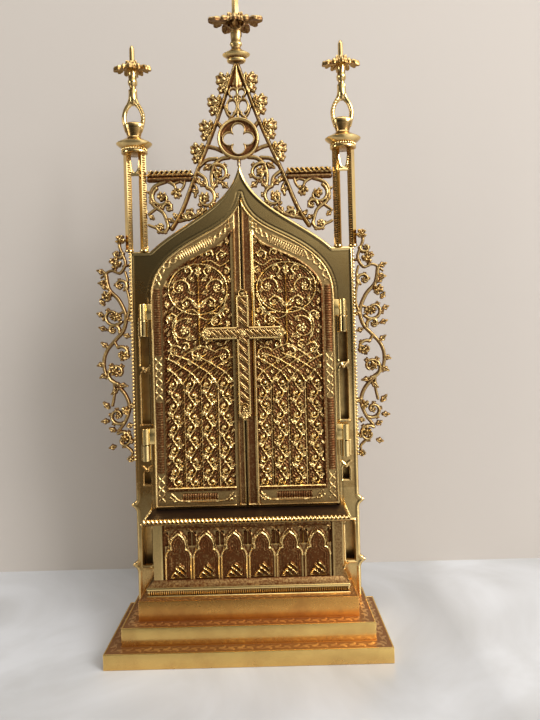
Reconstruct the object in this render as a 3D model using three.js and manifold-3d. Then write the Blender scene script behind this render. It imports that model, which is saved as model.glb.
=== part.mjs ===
// Portable shrine of gilt cast brass: a stepped base and a niched predella carry a shallow case with an
// ogee front. Two relief doors hang on pinned hinges, and a cross on the right door laps the left one.
// A traceried gable, two pinnacles, a finial and pierced scroll wings finish it. Sizes are in
// millimetres, +Z is up, the front faces -Y, and the origin is the middle of the underside.
import * as THREE from 'three';
import { mergeVertices } from 'three/addons/utils/BufferGeometryUtils.js';
import Module from 'manifold-3d';

const wasm = await Module();
wasm.setup();

// Stepped base: each step is set back from the one below, and its patterned top lies inside a lip.
const SLAB = { width: 170, front: -32.3, back: 32.3, height: 9.4 };
const STEP_INSET = 8.6;
const MIDDLE_STEP_TOP = 20;
const UPPER_STEP_TOP = 31.7;
const LIP_WIDTH = 1.7;
const LIP_HEIGHT = 0.7;
const SEAT = 0.05;

// Front frame: a pierced plate with two legs and an ogee head.
const FRAME_FRONT = 9.7;
const FRAME_THICK = 3;
const FRAME_HALF = 73.5;
const POST_TOP = 251;
const OPENING_HALF = 60.4;
const OPENING_SPRING = 220;
const OPENING_APEX = 287.5;
const EXTRADOS_FOOT = 60;
const EXTRADOS_APEX = 309;

// Predella between the legs, with its foot moulding and cornice.
const FOOT = { width: 127, front: -10.8, top: 41 };
const PREDELLA = { width: 119, front: -6.8, top: 76.3 };
const CORNICE = { width: 130.3, front: -12.4, top: 80.9 };
const NICHES = 6;
const NICHE_PITCH = 17.6;

// Case behind the frame.
const CASE_BACK = 21.8;
const CASE_WALL = 1.6;
const CASE_HALF = 71.6;

// Doors: cast leaves a little smaller than the opening, hung on pinned barrels in front of the posts.
const DOOR_BOTTOM = 82.5;
const DOOR_EDGE = 60.1;
const MEETING_EDGE = 0.3;
const DOOR_BACK = 10.6;
const DOOR_GROUND = 8.2;
const DOOR_RELIEF = 6.9;
const DOOR_FACE = 6.3;
const STILE_INNER = 6.9;
const STILE_OUTER = 51.6;
const FIELD_BOTTOM = 94;
const LANCETS = 4;
const LANCET_SPRING = 164;
const HINGE_X = 65.4;
const HINGE_Y = 7;
const BARREL_RADIUS = 2.5;
const HINGE_JOINTS = [124, 205.5];
const KNUCKLE = 10.5;
const KNUCKLE_GAP = 0.3;

// Cross on the right door.
const CROSS = { back: 5.4, front: 3.4, crossing: 195.5, top: 221, foot: 138, arm: 27, bar: 7.6 };

// Openwork above and beside the frame.
const OPENWORK_FRONT = 9.9;
const OPENWORK_THICK = 2.6;
const GABLE_APEX = 374;
const ROUNDEL = { height: 324.4, radius: 13.9, rim: 2.6, lobe: 4.3 };
const RAIL = { bottom: 297, top: 305, inner: 31.9, outer: 61 };
const SHAFT_X = [64.2, 74];
const SHAFT_RADIUS = 2.7;
const PINNACLE_X = 69.1;
const PINNACLE_Y = 11.2;
const SHAFT_TOP = 317;
const WING_EDGE = 73.8;

const BRIGHT_BRASS = { color: 0xd2aa4c, roughness: 0.24, metalness: 1 };
const CAST_BRASS = { color: 0xb98a3c, roughness: 0.38, metalness: 1 };
const PATINATED_BRASS = { color: 0x8d5a30, roughness: 0.5, metalness: 1 };

const point = (x, z) => new THREE.Vector2(x, z);

// A closed three.js geometry as a solid, turned right side out if its faces point in.
function solid(geometry) {
  const bare = geometry.index ? geometry.toNonIndexed() : geometry.clone();
  bare.deleteAttribute('normal');
  bare.deleteAttribute('uv');
  const merged = mergeVertices(bare, 1e-4);
  const vertProperties = new Float32Array(merged.attributes.position.array);
  const triVerts = new Uint32Array(merged.index.array);
  if (signedVolume(vertProperties, triVerts) < 0) {
    triVerts.reverse();
  }
  return new wasm.Manifold(new wasm.Mesh({ numProp: 3, vertProperties, triVerts }));
}

function signedVolume(positions, triangles) {
  const corner = [new THREE.Vector3(), new THREE.Vector3(), new THREE.Vector3()];
  let volume = 0;
  for (let i = 0; i < triangles.length; i += 3) {
    corner.forEach((vertex, k) => vertex.fromArray(positions, 3 * triangles[i + k]));
    volume += corner[0].dot(corner[1].clone().cross(corner[2])) / 6;
  }
  return volume;
}

const join = (solids) => solids.reduce((whole, part) => whole.add(part));

const wound = (points, clockwise) => (
  THREE.ShapeUtils.isClockWise(points) === clockwise ? points : [...points].reverse()
);

// A flat drawing in x and z, cut from a plate that starts at the depth `front`.
function prism(points, front, depth, holes = []) {
  const shape = new THREE.Shape(wound(points, false));
  shape.holes = holes.map((hole) => new THREE.Path(wound(hole, true)));
  const geometry = new THREE.ExtrudeGeometry(shape, { depth, bevelEnabled: false });
  geometry.rotateX(Math.PI / 2);
  geometry.translate(0, front + depth, 0);
  return solid(geometry);
}

// A box from its lowest to its highest corner.
function block(x0, x1, y0, y1, z0, z1) {
  const geometry = new THREE.BoxGeometry(x1 - x0, y1 - y0, z1 - z0);
  geometry.translate((x0 + x1) / 2, (y0 + y1) / 2, (z0 + z1) / 2);
  return solid(geometry);
}

// A round turned part about a vertical axis; its profile is a list of [radius, height].
function turned(profile, sides, x = 0, y = 0) {
  const geometry = new THREE.LatheGeometry(profile.map(([r, z]) => point(r, z)), sides);
  geometry.rotateX(Math.PI / 2);
  geometry.rotateZ(Math.PI / sides);
  geometry.translate(x, y, 0);
  return solid(geometry);
}

// The outline of a band of metal along a line, which may taper.
function ribbon(points, startWidth, endWidth = startWidth) {
  const left = [];
  const right = [];
  points.forEach((here, i) => {
    const before = points[Math.max(i - 1, 0)];
    const after = points[Math.min(i + 1, points.length - 1)];
    const along = after.clone().sub(before).normalize();
    const half = THREE.MathUtils.lerp(startWidth, endWidth, i / (points.length - 1)) / 2;
    left.push(point(here.x - along.y * half, here.y + along.x * half));
    right.unshift(point(here.x + along.y * half, here.y - along.x * half));
  });
  return [...left, ...right];
}

function ellipse(x, z, radiusX, radiusZ, count, start = 0) {
  return Array.from({ length: count }, (_, i) => {
    const angle = start + (2 * Math.PI * i) / count;
    return point(x + radiusX * Math.cos(angle), z + radiusZ * Math.sin(angle));
  });
}

function curve(corners, count) {
  return new THREE.SplineCurve(corners.map(([x, z]) => point(x, z))).getPoints(count);
}

const bezier = (a, b, c, d, count) => (
  new THREE.CubicBezierCurve(point(...a), point(...b), point(...c), point(...d)).getPoints(count)
);

// A volute's centre line: it winds in from `radius` through `turn` degrees, from the angle `start`.
function spiral(x, z, radius, start, turn, count, inner = 0.4) {
  return Array.from({ length: count + 1 }, (_, i) => {
    const share = i / count;
    const angle = THREE.MathUtils.degToRad(start + turn * share);
    const r = radius * THREE.MathUtils.lerp(1, inner, share);
    return point(x + r * Math.cos(angle), z + r * Math.sin(angle));
  });
}

// A pointed boss that stands on the back plane and ends proud of the front.
function boss(x, z, radius, front, back, sides = 5) {
  const geometry = new THREE.ConeGeometry(radius, back - front, sides);
  geometry.rotateX(Math.PI);
  geometry.translate(x, (front + back) / 2, z);
  return solid(geometry);
}

// A pointed leaf lying in the plane of the openwork, from its stalk towards `angle`.
function leaf(x, z, angle, length, width) {
  const turn = THREE.MathUtils.degToRad(angle);
  const place = (along, across) => point(
    x + along * Math.cos(turn) - across * Math.sin(turn),
    z + along * Math.sin(turn) + across * Math.cos(turn),
  );
  const outline = [
    place(0, -width / 5), place(length * 0.45, -width / 2), place(length, 0),
    place(length * 0.45, width / 2), place(0, width / 5),
  ];
  return prism(outline, OPENWORK_FRONT + 0.2, OPENWORK_THICK - 0.4);
}

// Openwork drawn for the right-hand side; `side` is -1 for its mirror image.
const mirrored = (points, side) => points.map((p) => point(side * p.x, p.y));

function band(points, side, startWidth, endWidth = startWidth) {
  return prism(ribbon(mirrored(points, side), startWidth, endWidth), OPENWORK_FRONT, OPENWORK_THICK);
}

function leafBall(x, z, radius, side) {
  return boss(side * x, z, radius, OPENWORK_FRONT - radius * 0.45, OPENWORK_FRONT + OPENWORK_THICK, 4);
}

const mirroredLeaf = (side, x, z, angle, length, width) => (
  leaf(side * x, z, side > 0 ? angle : 180 - angle, length, width)
);

const root = new THREE.Group();

function addMesh(name, shape, finish, parent = root) {
  const { vertProperties, triVerts, numProp } = shape.getMesh();
  const positions = new Float32Array((vertProperties.length / numProp) * 3);
  for (let i = 0; i < positions.length / 3; i += 1) {
    positions.set(vertProperties.subarray(i * numProp, i * numProp + 3), 3 * i);
  }
  const geometry = new THREE.BufferGeometry();
  geometry.setAttribute('position', new THREE.BufferAttribute(positions, 3));
  geometry.setIndex(new THREE.BufferAttribute(new Uint32Array(triVerts), 1));
  geometry.computeVertexNormals();
  const mesh = new THREE.Mesh(geometry, new THREE.MeshStandardMaterial({ ...finish, flatShading: true }));
  mesh.name = name;
  parent.add(mesh);
  return mesh;
}

// Outer edge of the ogee band, from the right foot up to the apex, and the edge of its opening.
const EXTRADOS = bezier([EXTRADOS_FOOT, POST_TOP], [40, 270], [4, 279], [0, EXTRADOS_APEX], 8);
const INTRADOS = [
  ...bezier([OPENING_HALF, OPENING_SPRING], [OPENING_HALF, 240], [46, 250.5], [28.6, 259.5], 4),
  ...bezier([28.6, 259.5], [17, 265.5], [3, 271], [0, OPENING_APEX], 5).slice(1),
];

// A line moved sideways by `distance`, to the left of its own direction.
function offset(points, distance) {
  return points.map((here, i) => {
    const before = points[Math.max(i - 1, 0)];
    const after = points[Math.min(i + 1, points.length - 1)];
    const along = after.clone().sub(before).normalize();
    return point(here.x - along.y * distance, here.y + along.x * distance);
  });
}

// A half outline from the right foot to a point on the centre line, closed by its mirror image.
function symmetric(half) {
  return [...half.slice(0, -1), ...mirrored(half, -1).reverse()];
}

function base() {
  const step = (width, front, back, height) => {
    const body = block(-width / 2, width / 2, front, back, 0, height);
    const sunk = block(
      -width / 2 + LIP_WIDTH, width / 2 - LIP_WIDTH, front + LIP_WIDTH, back - LIP_WIDTH,
      height - LIP_HEIGHT, height + 1,
    );
    return body.subtract(sunk);
  };
  const slabFloor = SLAB.height - LIP_HEIGHT + SEAT;
  const stepFloor = MIDDLE_STEP_TOP - LIP_HEIGHT + SEAT;

  addMesh('plinth_slab', step(SLAB.width, SLAB.front, SLAB.back, SLAB.height), BRIGHT_BRASS);

  const middle = step(
    SLAB.width - 2 * STEP_INSET, SLAB.front + STEP_INSET, SLAB.back - STEP_INSET,
    MIDDLE_STEP_TOP - slabFloor,
  );
  addMesh('middle_step', middle, BRIGHT_BRASS).position.z = slabFloor;

  const upper = step(
    SLAB.width - 4 * STEP_INSET, SLAB.front + 2 * STEP_INSET, FRAME_FRONT - 0.3,
    UPPER_STEP_TOP - stepFloor,
  );
  addMesh('upper_step', upper, BRIGHT_BRASS).position.z = stepFloor;
}

// A trefoil-headed niche: a straight-sided opening with two side lobes and a pointed top lobe.
function trefoil(x, foot, half, spring) {
  const lobe = half * 0.62;
  const side = ellipse(half - lobe, spring, lobe, lobe * 1.15, 8).slice(0, 3);
  const top = [point(half * 0.52, spring + half * 1.2), point(0, spring + half * 2.05)];
  const right = [point(half, foot), ...side, ...top];
  const left = right.slice(0, -1).map((p) => point(-p.x, p.y)).reverse();
  return [...right, ...left].map((p) => point(p.x + x, p.y));
}

function predella() {
  const floor = UPPER_STEP_TOP - LIP_HEIGHT + SEAT;
  const half = FOOT.width / 2;
  const footBack = FRAME_FRONT - 0.4 - LIP_WIDTH;
  const weathering = new THREE.Shape([
    point(FOOT.front, floor), point(footBack, floor), point(footBack, FOOT.top),
    point(PREDELLA.front + 0.6, FOOT.top), point(FOOT.front + 1.2, FOOT.top - 3.2),
    point(FOOT.front + 0.9, FOOT.top - 4.4), point(FOOT.front, FOOT.top - 4.7),
  ]);
  const foot = new THREE.ExtrudeGeometry(weathering, { depth: FOOT.width, bevelEnabled: false });
  foot.rotateX(Math.PI / 2);
  foot.rotateZ(Math.PI / 2);
  foot.translate(-half, 0, 0);
  addMesh('predella_foot', solid(foot), CAST_BRASS);

  const bottom = FOOT.top + SEAT;
  const back = FRAME_FRONT + FRAME_THICK - 0.2;
  let panel = block(-PREDELLA.width / 2, PREDELLA.width / 2, PREDELLA.front, back, bottom, PREDELLA.top);
  for (let i = 0; i < NICHES; i += 1) {
    const x = (i - (NICHES - 1) / 2) * NICHE_PITCH;
    const spring = bottom + 15;
    panel = panel.subtract(prism(trefoil(x, bottom + 2.4, 7.1, spring), PREDELLA.front - 1, 2.4));
    for (let row = 0; row < 3; row += 1) {
      const z = bottom + 3.4 + row * 3.1;
      const chevron = [
        point(x - 3.4, z - 0.6), point(x, z + 0.6), point(x + 3.4, z - 0.6), point(x, z + 3.4),
      ];
      panel = panel.add(prism(chevron, PREDELLA.front + 0.5, 1.2));
    }
  }
  addMesh('predella', panel, PATINATED_BRASS);

  const corniceHalf = CORNICE.width / 2;
  const plate = block(
    -corniceHalf, corniceHalf, CORNICE.front, FRAME_FRONT - 0.3, PREDELLA.top + SEAT, CORNICE.top,
  );
  const hollow = block(
    -corniceHalf - 1, corniceHalf + 1, CORNICE.front - 1, CORNICE.front + 1.1,
    PREDELLA.top, PREDELLA.top + 1.5,
  );
  addMesh('predella_cornice', plate.subtract(hollow), BRIGHT_BRASS);
}

// One slot through a post, square at the foot and pointed at the head.
function slot(x, bottom, top, width) {
  const half = width / 2;
  return [
    point(x - half, bottom), point(x + half, bottom), point(x + half, top - half),
    point(x, top), point(x - half, top - half),
  ];
}

function frontFrame() {
  const half = [
    point(OPENING_HALF, MIDDLE_STEP_TOP - LIP_HEIGHT + SEAT),
    point(FRAME_HALF, MIDDLE_STEP_TOP - LIP_HEIGHT + SEAT),
    point(FRAME_HALF, 41), point(FRAME_HALF + 3.4, 44.5), point(FRAME_HALF, 48),
    point(FRAME_HALF, 80.5), point(FRAME_HALF + 3.4, 84), point(FRAME_HALF, 87.5),
    point(FRAME_HALF, POST_TOP), ...EXTRADOS,
  ];
  const outline = [...symmetric(half), ...symmetric(INTRADOS).reverse()];
  const slots = [-1, 1].flatMap((side) => [
    slot(side * 65.5, 175, 210, 5.3),
    slot(side * 65.5, 137, 172, 5.3),
    slot(side * 65.5, 97.5, 106, 4.6),
    slot(side * 67, 44, 70, 6.2),
  ]);
  const plate = prism(outline, FRAME_FRONT, FRAME_THICK, slots);

  const edge = symmetric([point(OPENING_HALF, CORNICE.top + 0.3), ...INTRADOS]);
  const bead = prism([...edge, ...offset(edge, -1.3).reverse()], FRAME_FRONT - 0.6, 1.2);
  const sills = [-1, 1].map((side) => (
    block(side * 65.5 - 3.4, side * 65.5 + 3.4, FRAME_FRONT - 1, FRAME_FRONT + 1, 135.2, 137)
  ));
  addMesh('front_frame', join([plate, bead, ...sills]), BRIGHT_BRASS);
}

function caseBehind() {
  const outerTop = offset(EXTRADOS, -CASE_WALL).slice(0, -1);
  const innerTop = offset(EXTRADOS, CASE_WALL * 1.2).slice(0, -1);
  const floor = MIDDLE_STEP_TOP - LIP_HEIGHT + SEAT;
  const front = FRAME_FRONT + FRAME_THICK + SEAT;
  const shoulder = POST_TOP - 3.5;
  const drop = (points, by) => points.map((p) => point(p.x, p.y - by));
  const outerHalf = [
    point(CASE_HALF, floor), point(CASE_HALF, shoulder), ...drop(outerTop, 5).slice(1),
    point(0, EXTRADOS_APEX - 6),
  ];
  const innerHalf = [
    point(CASE_HALF - CASE_WALL, floor), point(CASE_HALF - CASE_WALL, shoulder - CASE_WALL),
    ...drop(innerTop, 3.4).slice(1), point(0, EXTRADOS_APEX - 10),
  ];
  const section = [...symmetric(outerHalf), ...symmetric(innerHalf).reverse()];
  const wall = prism(section, front, CASE_BACK - front);
  const back = prism(symmetric(outerHalf), CASE_BACK - CASE_WALL, CASE_WALL);
  const shelf = block(
    -CASE_HALF + 0.5, CASE_HALF - 0.5, front, CASE_BACK - 0.5, CORNICE.top - 2, CORNICE.top,
  );
  addMesh('cabinet_case', join([wall, back, shelf]), BRIGHT_BRASS);
}

// Sweeping ribs that spring from a mullion and run to one side of the field, as a quarter ellipse.
function sweepingRib(from, to, rise) {
  return Array.from({ length: 4 }, (_, i) => {
    const angle = (Math.PI / 2) * (i / 3);
    return point(to + (from - to) * Math.cos(angle), LANCET_SPRING + rise * Math.sin(angle));
  });
}

function doorLeaf(side) {
  const top = offset(INTRADOS, 0.4);
  const outline = [
    point(MEETING_EDGE, DOOR_BOTTOM), point(DOOR_EDGE, DOOR_BOTTOM), point(DOOR_EDGE, OPENING_SPRING),
    ...top.slice(1, -1), point(MEETING_EDGE, OPENING_APEX - 2.4),
  ];
  const field = [
    point(STILE_INNER, FIELD_BOTTOM), point(STILE_OUTER, FIELD_BOTTOM),
    ...bezier([STILE_OUTER, 222], [STILE_OUTER, 233], [39, 242], [24, 248.5], 4),
    ...bezier([24, 248.5], [14, 252.5], [8.5, 257], [STILE_INNER, 262], 3).slice(1),
  ];
  const turn = (points) => mirrored(points, side);
  const raised = (points, face, ground = DOOR_GROUND) => prism(turn(points), face, ground + 0.2 - face);
  const strip = (line, width, face, endWidth = width) => raised(ribbon(line, width, endWidth), face);

  const parts = [
    prism(turn(outline), DOOR_GROUND, DOOR_BACK - DOOR_GROUND),
    prism(turn(outline), DOOR_FACE, DOOR_GROUND + 0.2 - DOOR_FACE, [turn(field)]),
  ];

  // Milled panels on the outer stile, the bottom rail and the sloping top rail.
  const panelX = (STILE_OUTER + DOOR_EDGE) / 2;
  [[105, 160], [185, 224]].forEach(([bottom, high]) => {
    const ends = [point(panelX, bottom), point(panelX, high)];
    parts.push(raised(ribbon(ends, 4.4), DOOR_FACE - 0.5));
  });
  const centre = (STILE_INNER + STILE_OUTER) / 2;
  parts.push(raised(ribbon([point(centre - 14, 88.2), point(centre + 14, 88.2)], 4.4), DOOR_FACE - 0.5));
  parts.push(raised(ribbon([point(43, 246.2), point(30, 253.2), point(17, 259.5)], 3.6), DOOR_FACE - 0.5));

  // Mullions, and between them a winding vine with a leaf at every turn.
  const bay = (STILE_OUTER - STILE_INNER) / LANCETS;
  for (let i = 1; i < LANCETS; i += 1) {
    const x = STILE_INNER + i * bay;
    parts.push(strip([point(x, FIELD_BOTTOM - 0.5), point(x, LANCET_SPRING + 1)], 1.5, DOOR_RELIEF));
  }
  const leaves = 6;
  const leafPitch = (LANCET_SPRING - FIELD_BOTTOM) / leaves;
  for (let i = 0; i < LANCETS; i += 1) {
    const x = STILE_INNER + (i + 0.5) * bay;
    for (let k = 0; k < leaves; k += 1) {
      const swing = k % 2 ? 1.2 : -1.2;
      const z = FIELD_BOTTOM + (k + 0.5) * leafPitch;
      parts.push(boss(side * (x + swing), z, 3.7, DOOR_RELIEF - 1.2, DOOR_GROUND + 0.2, 4));
    }
  }

  // Sweeping ribs cross over the lancets.
  for (let i = 0; i < LANCETS - 1; i += 1) {
    const outward = STILE_INNER + i * bay;
    const inward = STILE_OUTER - i * bay;
    const rise = 24 * (1 - i * 0.2);
    parts.push(strip(sweepingRib(outward + (i ? 0 : 0.6), STILE_OUTER + 0.5, rise), 1.3, DOOR_RELIEF));
    parts.push(strip(sweepingRib(inward - (i ? 0 : 0.6), STILE_INNER - 0.5, rise), 1.3, DOOR_RELIEF));
  }

  // Scrolls above the ribs: a large ring round a stem, side volutes and leaves.
  const ring = { z: 216.5, radius: 18, width: 1.7, sides: 12 };
  const hole = ellipse(centre, ring.z, ring.radius - ring.width, ring.radius - ring.width, ring.sides);
  parts.push(prism(
    turn(ellipse(centre, ring.z, ring.radius, ring.radius, ring.sides)),
    DOOR_RELIEF, DOOR_GROUND + 0.2 - DOOR_RELIEF, [turn(hole)],
  ));
  parts.push(strip([point(centre, 186), point(centre, 243)], 1.5, DOOR_RELIEF));
  [-1, 1].forEach((way) => {
    const low = spiral(centre + way * 8, 208, 7, way > 0 ? 180 : 0, way * -290, 6, 0.35);
    const high = spiral(centre + way * 7.5, 224, 6.4, way > 0 ? 180 : 0, way * 290, 6, 0.35);
    parts.push(strip(low, 1.7, DOOR_RELIEF, 1.3));
    parts.push(strip(high, 1.7, DOOR_RELIEF, 1.3));
    parts.push(boss(side * (centre + way * 8), 208, 3, DOOR_RELIEF - 1.2, DOOR_GROUND + 0.2, 4));
    parts.push(boss(side * (centre + way * 7.5), 224, 3, DOOR_RELIEF - 1.2, DOOR_GROUND + 0.2, 4));
  });
  [[11.6, 197], [46.8, 197], [11.6, 243]].forEach(([x, z]) => {
    parts.push(boss(side * x, z, 3.4, DOOR_RELIEF - 1, DOOR_GROUND + 0.2, 4));
  });

  // Upper knuckle of each hinge, with its short arm to the stile.
  HINGE_JOINTS.forEach((joint) => {
    const low = joint + KNUCKLE_GAP / 2;
    parts.push(barrel(side * HINGE_X, low, low + KNUCKLE));
    const arm = [side * (DOOR_EDGE - 1), side * HINGE_X].sort((a, b) => a - b);
    parts.push(block(arm[0], arm[1], HINGE_Y - 0.7, HINGE_Y + 0.9, low, low + KNUCKLE));
  });
  return join(parts);
}

function barrel(x, bottom, top) {
  const geometry = new THREE.CylinderGeometry(BARREL_RADIUS, BARREL_RADIUS, top - bottom, 8);
  geometry.rotateX(Math.PI / 2);
  geometry.translate(x, HINGE_Y, (bottom + top) / 2);
  return solid(geometry);
}

function doors() {
  [-1, 1].forEach((side) => {
    const name = side < 0 ? 'left' : 'right';
    const leafGroup = new THREE.Group();
    leafGroup.position.set(side * HINGE_X, HINGE_Y, 0);
    root.add(leafGroup);
    const mesh = addMesh(`${name}_door`, doorLeaf(side), CAST_BRASS, leafGroup);
    mesh.position.set(-side * HINGE_X, -HINGE_Y, 0);
    if (side > 0) {
      addMesh('door_cross', doorCross(), CAST_BRASS, leafGroup).position.copy(mesh.position);
    }
    HINGE_JOINTS.forEach((joint, level) => {
      const high = joint - KNUCKLE_GAP / 2;
      const plate = block(
        side * 65.5 - 3.6, side * 65.5 + 3.6, FRAME_FRONT - 1.1, FRAME_FRONT - SEAT, high - KNUCKLE, high,
      );
      const knuckle = barrel(side * HINGE_X, high - KNUCKLE, high).add(plate);
      addMesh(`${name}_${level ? 'upper' : 'lower'}_hinge`, knuckle, BRIGHT_BRASS);
    });
  });
}

// The pointed end of one arm of the cross, from its lower to its upper edge.
function armEnd(arm, crossing, half, tip) {
  return [
    point(arm - tip - 2, crossing - half), point(arm - tip - 1, crossing - half - 2.4),
    point(arm + 1, crossing), point(arm - tip - 1, crossing + half + 2.4),
    point(arm - tip - 2, crossing + half),
  ];
}

// The cross: plain bars with leafy ends, a rosette at the head, and a pad that fixes it to the right door.
function doorCross() {
  const { back, front, crossing, top, foot, arm, bar } = CROSS;
  const half = bar / 2;
  const depth = back - front;
  const tip = 4;
  const upright = [
    point(-half, foot + tip), point(0, foot), point(half, foot + tip), point(half, top - 4),
    point(half + 1.6, top - 1), point(0, top + 4), point(-half - 1.6, top - 1), point(-half, top - 4),
  ];
  const beam = [
    ...armEnd(arm, crossing, half, tip), ...armEnd(arm, crossing, half, tip).map((p) => (
      point(-p.x, 2 * crossing - p.y)
    )),
  ];
  const ridge = (line, width) => prism(ribbon(line, width), front - 0.5, 1);
  return join([
    prism(upright, front, depth),
    prism(beam, front, depth),
    boss(0, top - 1, 4.4, front - 1.2, back, 8),
    boss(0, crossing, 3.6, front - 1, back, 8),
    ridge([point(0, foot + 5), point(0, top - 5)], 2.2),
    ridge([point(-arm + 3, crossing), point(arm - 3, crossing)], 2.2),
    block(0.9, 3.6, back - 0.2, DOOR_FACE - SEAT, foot + 8, top - 8),
  ]);
}

// The gable stands on the ogee band: raking bars with crockets, volutes, two lights and a roundel.
function gable() {
  const parts = [];
  const rake = curve([[0.8, GABLE_APEX], [14.6, 335], [28.2, 303], [38.3, 278], [46.2, 264.9]], 5);
  [-1, 1].forEach((side) => {
    parts.push(prism(ribbon(mirrored(rake, side), 3.2, 2.4), OPENWORK_FRONT - 0.8, OPENWORK_THICK + 1.2));
    [[8.6, 364], [14.6, 349.5], [20.6, 333], [26.7, 318]].forEach(([x, z]) => {
      parts.push(boss(side * x, z - 1, 4.6, OPENWORK_FRONT - 1.8, OPENWORK_FRONT + OPENWORK_THICK, 6));
    });
    parts.push(band(spiral(13.6, 301.5, 6.6, 60, 300, 7, 0.45), side, 1.9, 1.5));
    parts.push(leafBall(15, 301, 3, side));
    parts.push(band(curve([[26.5, 306.5], [21, 309.6], [16.9, 307.2]], 3), side, 1.8));
    parts.push(band(spiral(22.6, 285.6, 7.2, 100, 300, 7, 0.45), side, 1.9, 1.5));
    parts.push(leafBall(24, 286, 3.2, side));
    parts.push(band(curve([[28, 303], [22.6, 298.5], [21.3, 292.4]], 3), side, 2));
    parts.push(band(curve([[23, 279], [30, 274], [41, 271]], 3), side, 1.8));
    parts.push(band([point(7, 314.6), point(12, 306)], side, 2));
    const light = ellipse(3.5, 346.5, 2.9, 5.2, 8);
    const pane = ellipse(3.5, 346.5, 1.6, 3.7, 8);
    parts.push(prism(mirrored(light, side), OPENWORK_FRONT, OPENWORK_THICK, [mirrored(pane, side)]));
    parts.push(band([point(7, 351), point(0, 357)], side, 1.6));
    parts.push(band([point(13.6, 318), point(19.5, 322.5)], side, 1.8));
  });
  const wedge = [point(-3, 362), point(3, 362), point(0.9, 371), point(-0.9, 371)];
  parts.push(prism(wedge, OPENWORK_FRONT, OPENWORK_THICK));
  parts.push(band([point(0, 336.5), point(0, 364)], 1, 1.6));
  parts.push(band([point(0, 312), point(0, EXTRADOS_APEX - 1)], 1, 2.4));

  const { height, radius, rim, lobe } = ROUNDEL;
  const quatrefoil = Array.from({ length: 4 }, (_, k) => {
    const facing = (Math.PI / 2) * k;
    const reach = lobe * 1.25;
    return Array.from({ length: 4 }, (__, i) => {
      const angle = facing + THREE.MathUtils.degToRad(-105 + 70 * i);
      return point(
        reach * Math.cos(facing) + lobe * Math.cos(angle),
        height + reach * Math.sin(facing) + lobe * Math.sin(angle),
      );
    });
  }).flat();
  const disc = ellipse(0, height, radius - 1.2, radius - 1.2, 14);
  parts.push(prism(disc, OPENWORK_FRONT + 0.4, OPENWORK_THICK - 0.8, [quatrefoil]));
  const inner = ellipse(0, height, radius - rim, radius - rim, 14);
  parts.push(prism(ellipse(0, height, radius, radius, 14), OPENWORK_FRONT - 0.8, 3.6, [inner]));

  addMesh('gable', join(parts).subtract(roomOfBand()), CAST_BRASS);
}

// All that lies under the ogee band's outer edge, with the clearance that the openwork keeps.
function roomOfBand() {
  const clearance = 0.35;
  const top = offset(EXTRADOS, -clearance).slice(0, -1);
  const half = [
    point(SLAB.width / 2, OPENING_SPRING), point(SLAB.width / 2, POST_TOP + clearance), ...top,
    point(0, EXTRADOS_APEX + clearance),
  ];
  return prism(symmetric(half), FRAME_FRONT - 5, 12);
}

function crestGrille(side) {
  const { bottom, top, inner, outer } = RAIL;
  const rail = [
    point(side * inner, bottom + 0.6), point(side * outer, bottom + 0.6), point(side * outer, top),
    point(side * (inner - 1.2), top),
  ];
  const stem = [[46, 298.4], [56.6, 294.2], [59.4, 287], [57.2, 281.5], [51, 276.5], [47.8, 267.4]];
  const parts = [
    prism(rail, OPENWORK_FRONT - 0.6, OPENWORK_THICK + 0.8),
    band(spiral(52, 286.8, 7.4, 62, -300, 7, 0.4), side, 1.9, 1.5),
    leafBall(52, 286.6, 3, side),
    band(curve(stem, 7), side, 2),
    band(curve([[50, 298.6], [43.6, 295], [41.8, 289.5]], 3), side, 1.7),
    leafBall(41.8, 288, 3.2, side),
    band(spiral(47.8, 279.8, 3.9, 0, 300, 5, 0.75), side, 1.5),
    band(spiral(52.6, 267, 4.8, 170, 300, 7, 0.5), side, 1.8, 1.4),
    leafBall(52.8, 267, 2.8, side),
    band([point(56, 279.5), point(outer, 276)], side, 1.7),
    band([point(55.4, 266.4), point(outer, 268.8)], side, 1.7),
  ];
  return join(parts).subtract(roomOfBand());
}

// Half of a pear-shaped ring, from its foot up the right-hand side to its neck.
function pearHalf(x, widest, foot, neck) {
  return [
    point(x, foot), point(x + widest * 0.8, foot + 3), point(x + widest, foot + 7),
    point(x + widest * 0.62, foot + 12.5), point(x + widest * 0.24, neck),
  ];
}

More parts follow.
